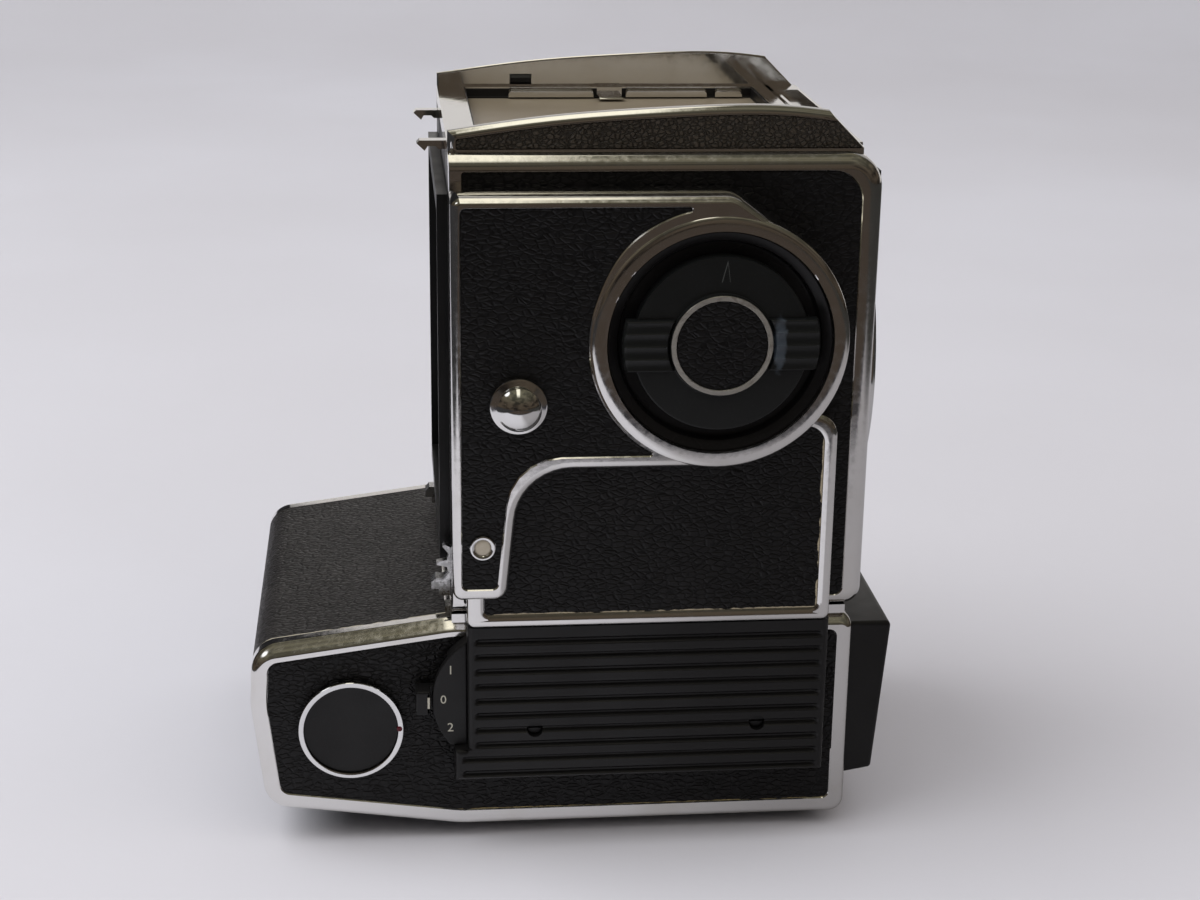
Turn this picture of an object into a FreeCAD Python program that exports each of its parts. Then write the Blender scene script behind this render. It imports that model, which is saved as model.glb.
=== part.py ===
"""Motor-driven medium format reflex camera body, without lens, magazine or finder.

Frame: +X points out through the lens mount, +Y to the camera's left side, +Z up.
The origin is the middle of the tripod thread's mouth, in the plane the camera stands on.
All sizes are millimetres.
"""
import FreeCAD, Part
import math
import os

V = FreeCAD.Vector

# Body shell: the bright cube that carries lens, magazine and finder
shell_length = 73.0
shell_width = 72.0
shell_bottom = 43.6
shell_height = 81.5
shell_wall = 2.2
shell_edge_radius = 2.8
leather_thickness = 0.6
band_side = 3.6
band_side_top = 3.0
band_side_bottom = 2.4
band_corner_radius = 5.0
band_low_corner_radius = 1.5
leather_clearance = 0.4
small_chamfer = 0.5

rear_x = -shell_length / 2
front_x = shell_length / 2
side_y = shell_width / 2
shell_top = shell_bottom + shell_height
inner_front_x = front_x - shell_wall
inner_side_y = side_y - shell_wall

# Lens axis, film gate and the light box between them
lens_axis_z = shell_bottom + shell_height / 2
gate_size = 56.0
box_floor_margin = 5.35
box_inner_half = 30.0
box_wall = 1.5
box_floor_z = lens_axis_z - gate_size / 2 - box_floor_margin
box_top_z = 120.6
throat_clearance = 0.5
rear_plate_thickness = 2.0
rear_rim_height = 1.8
rear_rim_half = 33.0
rear_rim_half_width = 29.8
slot_edge = 0.1
rear_plate_x = rear_x + rear_plate_thickness

# Lens mount ring
mount_flange_radius = 31.0
mount_flange_height = 1.4
mount_spigot_radius = 29.3
mount_bore_radius = 27.0
mount_bore_depth = 2.2
mount_lug_radius = 25.0
mount_lug_thickness = 1.5
mount_lug_angle = 40.0
mount_lug_root = 0.4
mount_lugs = 3
mount_first_lug = -60.0
mount_relief_radius = 28.0
mount_spigot_depth = 3.0
mount_face_x = front_x + mount_flange_height

# Lens release button, lock pin and drive key
button_y = 27.0
button_drop = 27.0
button_z = lens_axis_z - button_drop
button_radius = 3.0
button_stem_radius = 1.5
button_rise = 2.0
button_travel = 1.3
button_stop_gap = 0.2
lock_y = (mount_flange_radius + mount_bore_radius) / 2
lock_radius = 0.9
lock_rise = 1.1
stem_length = 7.0
key_radius = 2.0
key_offset = 17.324
key_slot_width = 0.9
key_slot_depth = 1.2
key_setback = 0.2
key_back_x = 24.0
bracket_thickness = 4.0
bracket_margin = 3.6

# Swinging mirror and the two doors that keep light from the film
mirror_rest_angle = 45.0
mirror_length = 62.0
mirror_half_width = 26.5
mirror_glass_thickness = 1.6
mirror_tray_thickness = 1.2
glass_start = 2.0
glass_margin = 0.5
mirror_pivot_x = -31.2
mirror_pivot_rise = 2.65
pivot_radius = 1.2
running_fit = 0.05
door_thickness = 0.8
door_half_width = 28.8
door_gap = 0.3
door_pin_radius = 0.8
door_barrel_radius = 1.0
door_hinge_x = rear_plate_x + door_gap + door_barrel_radius
door_reach = gate_size / 2 + 1.2
door_hinge_inset = 0.2
upper_hinge_z = lens_axis_z + door_reach - door_hinge_inset
lower_hinge_z = lens_axis_z - door_reach + door_hinge_inset
mirror_pivot_z = upper_hinge_z + mirror_pivot_rise

# Finder seat on top of the shell
seat_half_width = 32.35
seat_wall = 1.45
seat_floor_rise = 1.0
seat_front_x = 33.4
seat_rear_height = 3.4
seat_front_height = 6.6
seat_slope_x = 27.2
seat_crown_rear_x = -20.4
seat_crown_rear_height = 5.6
seat_crown_middle_x = 2.8
seat_crown_front_x = 22.0
seat_crown_height = 7.2
seat_tip_setback = 0.6
seat_bar = 2.6
seat_groove = 1.4
seat_groove_width = 0.8
seat_groove_depth = 0.6
seat_pocket_depth = 1.2
seat_pocket_half = 25.0
strip_rim = 0.9
strip_end = 1.4
seat_floor_z = shell_top + seat_floor_rise
screen_length = 55.0
screen_half_width = 28.4
screen_rear_x = -30.9
screen_thickness = 1.6
screen_drop = 2.1
screen_top_z = seat_floor_z - screen_drop
screen_rim = 0.5
screen_rim_rise = 0.3
screen_ledge = 0.9
clip_width = 4.8
clip_reach = 5.0
clip_thickness = 0.5
clip_riser = 0.6

# Side cover with the ring round the winding cap, on the camera's right side
cover_depth = 8.0
cover_wall = 1.6
cover_rim = 1.6
cover_chamfer = 0.9
cover_top_z = 120.0
cover_bottom_z = 50.1
cover_tail_x = -27.2
cover_sweep_x = -24.9
cover_sweep_z = 74.15
cover_sweep_radius = 9.0
cover_corner_x = 10.3
cover_corner_radius = 4.0
cover_rear_radius = 1.4
cover_tail_radius = 1.2
cover_top_rim = 2.2
cover_lip = 0.2
panel_corner_x = 4.74
cover_recess_radius = 0.8
ring_chamfer = 1.2
cap_x = 8.3
cap_z = 94.8
ring_radius = 22.4
ring_rise = 0.6
ring_bore_radius = 18.9
ring_step = 0.1
cover_y = -(side_y + cover_depth)
ring_y = cover_y - ring_rise
leather_recess = 0.8

# Gear housing below the cover
housing_depth = 6.0
housing_left_x = -34.1
housing_right_x = 29.4
housing_top_z = 81.5
housing_corner_radius = 4.0
housing_rim = 2.3
housing_left_rim = 3.0
housing_low_radius = 1.4
housing_wall = 1.6
housing_top_wall = 4.0
hollow_left = 18.0
housing_y = -(side_y + housing_depth)

# Winding cap in its well
well_floor_thickness = 0.8
well_gear_gap = 0.5
well_wall = 1.2
well_setback = 1.0
cap_radius = 14.9
cap_face_y = cover_y - 0.4
cap_chamfer = 0.4
cap_depth = 2.6
wing_half_length = 16.6
wing_width = 8.8
wing_rise = 1.4
wing_ribs = 5
wing_rib_pitch = 1.9
wing_groove = 0.5
hub_ring_radius = 8.55
hub_ring_width = 0.7
hub_rise = 1.0
hub_rim = 0.6
hub_seat_depth = 0.8
hub_disc_recess = 0.2
shaft_radius = 3.0

# Gear train from the motor up to the winding shaft
pitch_diameter_per_tooth = 1.0
winding_teeth = 24
upper_teeth = 22
middle_teeth = 22
lower_teeth = 18
pinion_teeth = 8
magazine_teeth = 9
gear_thickness = 1.8
gear_back_y = -(side_y + 1.8)
gear_centre_play = 0.2
gear_front_y = gear_back_y - gear_thickness
well_floor_y = gear_front_y - well_gear_gap - well_floor_thickness
winding_to_upper = -100.5
upper_to_middle = -95.0
middle_to_lower = -95.5
lower_to_pinion = 203.0
tooth_addendum = 0.7
tooth_dedendum = 1.05
tooth_root_width = 1.25
tooth_tip_width = 0.5
gear_pin_radius = 1.5
gear_pin_rise = 0.3
gear_room = 0.6
gear_root_overlap = 0.2
plate_half = 8.0
window_left = 16.0
window_right = 8.0
window_low = 4.0
window_high = 12.0
bearing_plate_thickness = 1.2
magazine_gear_rise = 1.6
magazine_gear_z = box_floor_z + magazine_gear_rise
magazine_gear_thickness = 1.6
magazine_gear_reach = 0.7
magazine_pin_radius = 1.2
magazine_pin_gap = 0.3
magazine_gear_gap = 0.2
magazine_slot_gap = 0.5
magazine_first_angle = 20.0

# Motor and battery base
base_front_x = 34.5
base_bottom = 3.5
base_tail_bottom_x = -35.3
base_tail_x = -72.1
base_tail_low_z = 8.3
base_tail_mid_z = 27.5
base_tail_top_z = 39.2
base_top_z = 42.1
deck_inset = 1.2
base_wall = 1.8
divider_thickness = 1.4
base_edge_radius = 2.2
base_corner_radius = 5.0
base_front_radius = 2.6
base_rim = 3.2
base_bend_radius = 25.0
base_tail_low_inset = 2.3
base_tail_top_inset = 0.6
wrap_start = 1.0
wrap_low = 4.0
shaft_clearance = 0.4
motor_radius = 12.8
motor_length = 46.0
motor_right_y = -32.0
motor_shaft_radius = 1.6
motor_nose = 1.5
motor_nose_radius = 5.0
motor_foot_half = 9.0
motor_foot_end = 6.0
motor_foot_gap = 0.5
cell_radius = 6.5
cell_length = 58.0
cell_spacing = 13.6
cell_middle_x = -53.0
cell_z = 24.5
cell_middle_y = 1.0
cell_right_y = cell_middle_y - cell_length / 2
contact_thickness = 0.8
contact_half = 5.0
contact_post_half = 1.5
cell_cap_radius = 2.0
cell_cap_height = 1.0
cradle_half = 20.0
cradle_gap = 0.3
cradle_inset = 2.0

# Ribbed grip panel over the lower gears
grip_depth = 5.5
grip_wall = 1.6
grip_left_x = -34.0
grip_right_x = 29.6
grip_tail_x = -36.3
grip_tail_z = 20.4
grip_bottom_z = 14.4
grip_grooves = 10
groove_pitch = 2.8
groove_width = 1.1
groove_depth = 0.7
groove_first_z = 15.7
groove_end = 1.0
long_grooves = 2
grip_screw_left_x = -22.2
grip_screw_right_x = 17.4
grip_screw_z = 24.0
grip_screw_radius = 1.4
grip_screw_recess = 1.2
grip_screw_slot = 0.4
grip_corner_radius = 0.8
pinion_room = 7.5
wheel_room = 12.0
grip_y = -(side_y + grip_depth)

# Mode lever under its marked plate
lever_x = -27.2
lever_z = 29.0
plate_radius = 13.0
plate_depth = 3.2
lever_reach = 15.9
lever_width = 4.6
lever_thickness = 1.4
lever_gap = 0.3
lever_chamfer = 0.5
lever_nose = 2.6
lever_hub_radius = 2.6
lever_swing_room = 8.0

# Selector knob at the rear of the base
selector_x = -54.5
selector_z = 22.9
selector_radius = 9.25
selector_ring_width = 0.9
selector_height = 1.5
selector_recess = 0.6
selector_stem_radius = 2.5
selector_stem_end = 0.6
selector_gap = 0.3
selector_chamfer = 0.4

# Release box on the front of the base
release_far_y = -8.0
release_near_y = -34.0
release_bottom_z = 10.6
release_top_z = 39.7
release_top_reach = 8.2
release_bottom_reach = 6.0
release_button_radius = 4.2
release_button_z = 30.0
release_button_rise = 1.6
release_travel = 1.2
release_edge_radius = 0.8
release_floor = 2.0
release_stem_radius = 1.5
release_stop_gap = 0.3
release_chamfer = 0.5
socket_radius = 4.0
socket_bore_radius = 3.1
socket_depth = 4.2
socket_z = 18.0
socket_rise = 0.6
socket_floor = 1.0

# Tripod plate, rail, lugs and small fittings
tripod_length = 44.0
tripod_width = 42.0
tripod_bevel = 1.5
tripod_boss_radius = 6.5
tripod_boss_height = 5.5
thread_radius = 2.65
thread_depth = 8.0
screw_head_radius = 2.2
screw_space_depth = 2.0
screw_recess = 0.3
screw_slot_width = 0.6
screw_slot_depth = 0.5
screw_inset = 6.0
rail_length = 44.0
rail_width = 13.0
rail_height = 3.2
rail_lip = 2.2
rail_plate = 1.2
rail_lip_thickness = 1.0
rail_z = 66.0
lug_x = -25.4
lug_z = 84.6
lug_foot_radius = 4.85
lug_foot_height = 1.0
lug_neck_radius = 2.4
lug_head_radius = 3.7
lug_height = 3.6
lug_stem_radius = 1.8
lug_ball_radius = 4.625
lug_dome = 1.2
signal_x = -31.4
signal_z = 59.4
signal_radius = 2.2
signal_glass_radius = 1.4
signal_travel = 4.8
bezel_rise = 0.2
flag_gap = 0.3
flag_half_width = 2.2
flag_half_height = 2.4
flag_thickness = 0.6
hook_half_spacing = 15.7
hook_width = 2.6
hook_reach = 4.8
hook_thickness = 1.5
hook_bottom_z = 122.6
hook_tip = 1.9
hook_notch = 1.4
hook_nose = 0.5
hook_drop = 0.3
low_lug_half_spacing = 24.6
low_lug_width = 3.0
low_lug_height = 3.4
low_lug_reach = 3.3
low_lug_bevel = 0.8
low_lug_step = 1.3
door_overlap = 1.6
door_leather_gap = 3.0
bay_front_x = -40.0
bay_rear_x = -66.0
bay_bottom_z = 12.0
bay_top_z = 36.0
lid_thickness = 1.8
lid_barrel_radius = 1.2
lid_gap = 0.1
lid_hinge_offset = 1.5
lid_barrel_inset = 4.0
lid_pin_radius = 0.6
lid_ear_height = 2.2
lid_ear_inset = 1.5
lid_notch_gap = 0.2
catch_x = -20.4
catch_length = 4.0
catch_height = 1.8
catch_travel = 1.0
catch_gap = 0.1
catch_lift = 0.3

parts = {}


def box(x0, x1, y0, y1, z0, z1):
    """Axis-aligned block between two corners, given in any order."""
    low = V(min(x0, x1), min(y0, y1), min(z0, z1))
    return Part.makeBox(abs(x1 - x0), abs(y1 - y0), abs(z1 - z0), low)


def rod_y(x, z, radius, y0, y1):
    """Cylinder along Y between two planes."""
    return Part.makeCylinder(radius, abs(y1 - y0), V(x, min(y0, y1), z), V(0, 1, 0))


def rod_x(y, z, radius, x0, x1):
    """Cylinder along X between two planes."""
    return Part.makeCylinder(radius, abs(x1 - x0), V(min(x0, x1), y, z), V(1, 0, 0))


def rod_z(x, y, radius, z0, z1):
    """Cylinder along Z between two planes."""
    return Part.makeCylinder(radius, abs(z1 - z0), V(x, y, min(z0, z1)), V(0, 0, 1))


def rounded_face(corners):
    """Face in the XZ plane from (x, z, radius) corners, each rounded by an arc."""
    count = len(corners)
    stretches = []
    for i, (x, z, radius) in enumerate(corners):
        here = V(x, 0, z)
        before = V(corners[i - 1][0], 0, corners[i - 1][1]) - here
        after = V(corners[(i + 1) % count][0], 0, corners[(i + 1) % count][1]) - here
        before.normalize()
        after.normalize()
        half = math.acos(max(-1.0, min(1.0, before.dot(after)))) / 2
        if radius <= 0:
            stretches.append((here, None, here))
            continue
        run = radius / math.tan(half)
        middle = before + after
        middle.normalize()
        crest = here + middle * (radius / math.sin(half) - radius)
        stretches.append((here + before * run, crest, here + after * run))
    edges = []
    for i, (start, crest, end) in enumerate(stretches):
        if crest is not None:
            edges.append(Part.Arc(start, crest, end).toShape())
        following = stretches[(i + 1) % count][0]
        if end.distanceToPoint(following) > 1e-6:
            edges.append(Part.LineSegment(end, following).toShape())
    return Part.Face(Part.Wire(edges))


def slab_y(face, y0, y1):
    """Solid made by carrying an XZ face from one Y plane to another."""
    placed = face.copy()
    placed.translate(V(0, min(y0, y1), 0))
    return placed.extrude(V(0, abs(y1 - y0), 0))


def slab_x(points, x0, x1):
    """Solid made by carrying a (y, z) polygon along X."""
    corners = [V(min(x0, x1), y, z) for y, z in points]
    wire = Part.makePolygon(corners + [corners[0]])
    return Part.Face(wire).extrude(V(abs(x1 - x0), 0, 0))


def prism_y(points, y0, y1):
    """Solid made by carrying an (x, z) polygon along Y."""
    return slab_y(rounded_face([(x, z, 0) for x, z in points]), y0, y1)


def inset(face, distance):
    """The same outline moved inwards by a distance."""
    return face.makeOffset2D(-distance, 2, False, False, False)


def fillet_where(solid, radius, wanted):
    """Round the edges of a solid for which a test of the edge is true."""
    return solid.makeFillet(radius, [edge for edge in solid.Edges if wanted(edge)])


def chamfer_where(solid, size, wanted):
    """Bevel the edges of a solid for which a test of the edge is true."""
    return solid.makeChamfer(size, [edge for edge in solid.Edges if wanted(edge)])


def lies_in_y(edge, y):
    """True when a whole edge lies in one Y plane."""
    bounds = edge.BoundBox
    return abs(bounds.YMin - y) < 1e-4 and abs(bounds.YMax - y) < 1e-4


def together(shapes):
    """Group of separate solids in one shape."""
    return Part.makeCompound(shapes)


def mirrored(shape):
    """Copy on the other side of the camera's middle plane."""
    return shape.mirror(V(0, 0, 0), V(0, 1, 0))


# Body shell
def make_shell():
    outer = box(rear_x, front_x, -side_y, side_y, shell_bottom, shell_top)
    outer = fillet_where(outer, shell_edge_radius,
                         lambda edge: edge.BoundBox.XMax > rear_x + 1
                         and not (abs(edge.BoundBox.XMin - rear_x) < 1e-6 and edge.BoundBox.XLength < 1e-6))
    hollow = box(rear_x, inner_front_x, -inner_side_y, inner_side_y,
                 shell_bottom + shell_wall, shell_top - shell_wall)
    seat = box(rear_x, seat_front_x, -seat_half_width, seat_half_width, shell_top - 2 * shell_wall, shell_top)
    throat = rod_x(0, lens_axis_z, mount_spigot_radius, inner_front_x, front_x)
    shell = outer.cut([hollow, seat, throat])
    return shell.cut([shell_leather_right(), mirrored(shell_leather_right()), front_leather_pad()])


def shell_leather_right():
    """Leather let into the shell's side, inside the bright band."""
    low = shell_bottom + band_side_bottom
    high = shell_top - band_side_top
    face = rounded_face([(rear_x, low, 0), (front_x - band_side, low, band_low_corner_radius),
                         (front_x - band_side, high, band_corner_radius), (rear_x, high, 0)])
    return slab_y(face, -side_y, -side_y + leather_thickness)


def front_leather_pad():
    low = shell_bottom + band_side
    high = shell_top - band_side
    half = side_y - band_side
    pad = slab_x([(-half, low), (half, low), (half, high), (-half, high)],
                 front_x - leather_thickness, front_x)
    return pad.cut(rod_x(0, lens_axis_z, mount_flange_radius + leather_clearance, rear_x, front_x + 1))


shell = make_shell()
shell = shell.cut([rod_x(button_y, button_z, button_stem_radius + running_fit, inner_front_x, front_x),
                   rod_x(lock_y, lens_axis_z, lock_radius + running_fit, inner_front_x, front_x)])
parts["body_shell"] = shell
right_leather = shell_leather_right()
left_leather = mirrored(shell_leather_right())
lug_hole = rod_y(lug_x, lug_z, lug_stem_radius, -side_y, side_y)
parts["body_shell"] = parts["body_shell"].cut(lug_hole)
parts["shell_leathers"] = together([right_leather.cut(lug_hole), left_leather.cut(lug_hole)])
parts["front_leather"] = front_leather_pad().cut(
    rod_x(button_y, button_z, button_radius + leather_clearance, inner_front_x, front_x))


# Lens mount ring with three bayonet lugs
def make_mount_ring():
    ring = rod_x(0, lens_axis_z, mount_flange_radius, front_x, mount_face_x)
    ring = chamfer_where(ring, small_chamfer, lambda edge: abs(edge.BoundBox.XMin - mount_face_x) < 1e-6
                         and edge.BoundBox.XLength < 1e-6)
    ring = ring.fuse(rod_x(0, lens_axis_z, mount_spigot_radius, front_x - mount_spigot_depth, front_x))
    bore_end = mount_face_x - mount_bore_depth
    ring = ring.cut(rod_x(0, lens_axis_z, mount_bore_radius, bore_end, mount_face_x))
    ring = ring.cut(rod_x(0, lens_axis_z, mount_relief_radius, front_x - mount_spigot_depth, bore_end))
    for i in range(mount_lugs):
        lug = Part.makeCylinder(mount_relief_radius + mount_lug_root, mount_lug_thickness,
                                V(bore_end - mount_lug_thickness, 0, lens_axis_z), V(1, 0, 0), mount_lug_angle)
        lug = lug.cut(rod_x(0, lens_axis_z, mount_lug_radius, bore_end - mount_lug_thickness - 1, bore_end + 1))
        turn = mount_first_lug + i * 360.0 / mount_lugs - mount_lug_angle / 2
        lug.rotate(V(0, 0, lens_axis_z), V(1, 0, 0), turn)
        ring = ring.fuse(lug)
    ring = ring.cut(rod_x(lock_y, lens_axis_z, lock_radius + running_fit,
                          front_x - mount_spigot_depth - 1, mount_face_x))
    return ring.removeSplitter()


parts["lens_mount_ring"] = make_mount_ring()

lock_pin = rod_x(lock_y, lens_axis_z, lock_radius, front_x - stem_length, mount_face_x + lock_rise)
parts["lens_lock_pin"] = lock_pin
button_back_x = front_x + button_travel + button_stop_gap
button = rod_x(button_y, button_z, button_radius, button_back_x, button_back_x + button_rise)
button = button.fuse(rod_x(button_y, button_z, button_stem_radius, front_x - stem_length, button_back_x))
parts["lens_release_button"] = button

# Lens drive key: slotted shaft in the throat that turns the lens's own gear
key_y = -key_offset
key_z = lens_axis_z - key_offset
bracket_x1 = front_x - mount_spigot_depth
bracket_x0 = bracket_x1 - bracket_thickness
key_front_x = mount_face_x - mount_bore_depth - key_setback
key = rod_x(key_y, key_z, key_radius, key_back_x, key_front_x)
key = key.cut(box(key_front_x - key_slot_depth, key_front_x, key_y - key_radius, key_y + key_radius,
                  key_z - key_slot_width / 2, key_z + key_slot_width / 2))
parts["lens_drive_key"] = key


# Light box: the frame that holds mirror and doors
def make_mirror_box():
    half = box_inner_half + box_wall
    body = box(rear_plate_x, inner_front_x, -half, half, box_floor_z, box_top_z)
    body = body.cut(box(rear_plate_x, inner_front_x, -box_inner_half, box_inner_half,
                        box_floor_z + box_wall, box_top_z))
    body = body.cut(rod_x(0, lens_axis_z, mount_spigot_radius + throat_clearance, bracket_x1, inner_front_x))
    body = body.cut(rod_y(mirror_pivot_x, mirror_pivot_z, pivot_radius + running_fit, -half, half))
    for z in (upper_hinge_z, lower_hinge_z):
        body = body.cut(rod_y(door_hinge_x, z, door_pin_radius + running_fit, -half, half))
    bracket = box(bracket_x0, bracket_x1, key_y - bracket_margin, key_y + bracket_margin,
                  box_floor_z + box_wall, key_z + bracket_margin)
    bracket = bracket.cut(rod_x(key_y, key_z, key_radius + running_fit, bracket_x0, bracket_x1))
    body = body.fuse(bracket)
    pin = rod_y(magazine_gear_x, magazine_gear_z, magazine_pin_radius, -half, -inner_side_y + magazine_pin_gap)
    return body.fuse(pin)


magazine_gear_radius = magazine_teeth * pitch_diameter_per_tooth / 2 + tooth_addendum
magazine_gear_x = rear_x - rear_rim_height - magazine_gear_reach + magazine_gear_radius
parts["mirror_box"] = make_mirror_box()


# Rear plate with the film gate
def make_rear_plate():
    top = shell_top - shell_wall
    plate = box(rear_x, rear_plate_x, -inner_side_y, inner_side_y, shell_bottom + shell_wall, top)
    rim = box(rear_x - rear_rim_height, rear_x, -rear_rim_half_width, rear_rim_half_width,
              lens_axis_z - rear_rim_half, lens_axis_z + rear_rim_half)
    rim = rim.cut(box(rear_x - rear_rim_height, rear_x, -rear_rim_half_width + box_wall,
                      rear_rim_half_width - box_wall, lens_axis_z - rear_rim_half + 2 * box_wall,
                      lens_axis_z + rear_rim_half - 2 * box_wall))
    half = gate_size / 2
    gate = box(rear_x - rear_rim_height, rear_plate_x, -half, half, lens_axis_z - half, lens_axis_z + half)
    slot_half = magazine_gear_radius + magazine_slot_gap
    gear_slot = box(rear_x, rear_plate_x, -inner_side_y + slot_edge, -box_inner_half - box_wall + slot_edge,
                    magazine_gear_z - slot_half, magazine_gear_z + slot_half)
    return plate.fuse(rim).cut([gate, gear_slot])


parts["rear_plate"] = make_rear_plate()


# Magazine hooks and support lugs on the rear
def make_hook(y):
    tip = rear_x - hook_reach
    low = hook_bottom_z
    high = low + hook_thickness
    notch_end = tip + hook_tip + hook_notch
    profile = [(rear_x, low), (rear_x, high), (tip + hook_nose, high), (tip, high - hook_nose),
               (tip + hook_tip - hook_nose, low - hook_drop), (tip + hook_tip, low + hook_nose),
               (notch_end, low + hook_nose), (notch_end + hook_nose, low)]
    return prism_y(profile, y - hook_width / 2, y + hook_width / 2)


def make_low_lug(y):
    low = shell_bottom
    high = low + low_lug_height
    tip = rear_x - low_lug_reach
    step_x = tip + low_lug_step
    profile = [(rear_x, low), (rear_x, high), (tip + low_lug_bevel, high), (tip, high - low_lug_bevel),
               (tip, low + low_lug_step), (step_x, low + low_lug_step), (step_x, low)]
    return prism_y(profile, y - low_lug_width / 2, y + low_lug_width / 2)


parts["magazine_hooks"] = together([make_hook(-hook_half_spacing), make_hook(hook_half_spacing)])
parts["magazine_lugs"] = together([make_low_lug(-low_lug_half_spacing), make_low_lug(low_lug_half_spacing)])


# Mirror: glass on a tray that hangs from a pivot pin at the top rear
def at_mirror_rest(shape):
    shape.rotate(V(mirror_pivot_x, 0, mirror_pivot_z), V(0, 1, 0), mirror_rest_angle)
    return shape


tray_top = mirror_pivot_z + pivot_radius
tray_bottom = tray_top - mirror_tray_thickness
glass_bottom = tray_bottom - mirror_glass_thickness
tray = box(mirror_pivot_x, mirror_pivot_x + mirror_length, -mirror_half_width, mirror_half_width,
           tray_bottom, tray_top)
tray = tray.fuse(rod_y(mirror_pivot_x, mirror_pivot_z, pivot_radius,
                       -box_inner_half - box_wall, box_inner_half + box_wall))
parts["mirror_carrier"] = at_mirror_rest(tray)
glass = box(mirror_pivot_x + glass_start, mirror_pivot_x + mirror_length - glass_margin,
            -mirror_half_width + glass_margin, mirror_half_width - glass_margin, glass_bottom, tray_bottom)
parts["mirror_glass"] = at_mirror_rest(glass)


# Two doors between mirror and film
def make_door(hinge_z, way):
    """Flap that hangs from (or stands on) a pin; way is -1 for the upper door."""
    end = hinge_z + way * (door_reach - door_gap)
    leaf = box(rear_plate_x + door_gap, rear_plate_x + door_gap + door_thickness,
               -door_half_width, door_half_width, hinge_z, end)
    barrel = rod_y(door_hinge_x, hinge_z, door_barrel_radius, -door_half_width, door_half_width)
    pin_half = box_inner_half + box_wall
    pin = rod_y(door_hinge_x, hinge_z, door_pin_radius, -pin_half, pin_half)
    return leaf.fuse([barrel, pin]).removeSplitter()


parts["upper_shutter_door"] = make_door(upper_hinge_z, -1)
parts["lower_shutter_door"] = make_door(lower_hinge_z, 1)


# Finder seat: floor, side walls and the opening for the focusing screen
def smooth_wall(drop):
    """Side wall outline whose top edge, lowered by drop, is one smooth curve from rear to front corner."""
    top = shell_top - drop
    crown_points = [V(rear_x, 0, top + seat_rear_height),
                    V(seat_crown_rear_x, 0, top + seat_crown_rear_height),
                    V(seat_crown_middle_x, 0, top + seat_crown_height),
                    V(seat_crown_front_x, 0, top + seat_crown_height),
                    V(seat_slope_x, 0, top + seat_front_height)]
    crown = Part.BSplineCurve()
    crown.interpolate(crown_points)
    rear_foot = V(rear_x, 0, seat_floor_z)
    front_foot = V(seat_front_x - seat_tip_setback, 0, seat_floor_z)
    edges = [Part.LineSegment(rear_foot, crown_points[0]).toShape(), crown.toShape(),
             Part.LineSegment(crown_points[-1], front_foot).toShape(),
             Part.LineSegment(front_foot, rear_foot).toShape()]
    return Part.Face(Part.Wire(edges))


screen_front_x = screen_rear_x + screen_length
opening_rear_x = screen_rear_x - screen_rim
opening_front_x = screen_front_x + screen_rim
opening_half = screen_half_width + screen_rim
screen_bottom_z = screen_top_z - screen_thickness


def make_finder_frame():
    plate_top = shell_top - shell_wall
    upper = box(rear_x, seat_front_x, -seat_half_width, seat_half_width, plate_top, seat_floor_z)
    lower = box(rear_plate_x, seat_front_x, -seat_half_width, seat_half_width, box_top_z, plate_top)
    frame = upper.fuse(lower)
    frame = frame.cut(box(opening_rear_x, opening_front_x, -opening_half, opening_half,
                          screen_bottom_z, seat_floor_z))
    ledge_half = opening_half - screen_ledge
    frame = frame.cut(box(opening_rear_x + screen_ledge, opening_front_x - screen_ledge,
                          -ledge_half, ledge_half, box_top_z, screen_bottom_z))
    inner = seat_half_width - seat_wall
    groove_x = opening_front_x + seat_bar
    pocket_x = groove_x + seat_groove
    frame = frame.cut(box(groove_x, groove_x + seat_groove_width, -inner, inner,
                          seat_floor_z - seat_groove_depth, seat_floor_z))
    frame = frame.cut(box(pocket_x, seat_front_x - seat_tip_setback, -seat_pocket_half, seat_pocket_half,
                          seat_floor_z - seat_pocket_depth, seat_floor_z))
    wall = slab_y(smooth_wall(0), inner, seat_half_width)
    catch_hole = box(catch_x - catch_length / 2 - catch_gap, catch_x + catch_length / 2 + catch_gap,
                     inner, seat_half_width, catch_z - catch_gap, catch_z + catch_height + catch_gap)
    return frame.fuse([wall.cut(catch_hole), mirrored(wall)]).removeSplitter()


catch_z = seat_floor_z + catch_lift
parts["finder_frame"] = make_finder_frame()
strip = slab_y(smooth_wall(strip_rim), seat_half_width, seat_half_width + leather_thickness)
strip = strip.common(box(rear_x + strip_end, seat_front_x - strip_end, seat_half_width,
                         seat_half_width + leather_thickness, seat_floor_z, shell_top + 2 * seat_front_height))
parts["finder_leathers"] = together([strip, mirrored(strip)])

catch_inner_y = seat_half_width - seat_wall - catch_travel
catch = box(catch_x - catch_length / 2, catch_x + catch_length / 2, catch_inner_y,
            seat_half_width - catch_travel - catch_gap, catch_z, catch_z + catch_height)
parts["finder_catch"] = chamfer_where(
    catch, small_chamfer, lambda edge: lies_in_y(edge, catch_inner_y) and edge.BoundBox.XLength > 1)

parts["focusing_screen"] = box(screen_rear_x, screen_front_x, -screen_half_width, screen_half_width,
                               screen_bottom_z, screen_top_z)
rim_top = screen_top_z + screen_rim_rise
screen_frame = box(opening_rear_x, opening_front_x, -opening_half, opening_half, screen_bottom_z, rim_top)
screen_frame = screen_frame.cut(box(screen_rear_x, screen_front_x, -screen_half_width, screen_half_width,
                                    screen_bottom_z, rim_top))
parts["screen_frame"] = screen_frame


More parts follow.
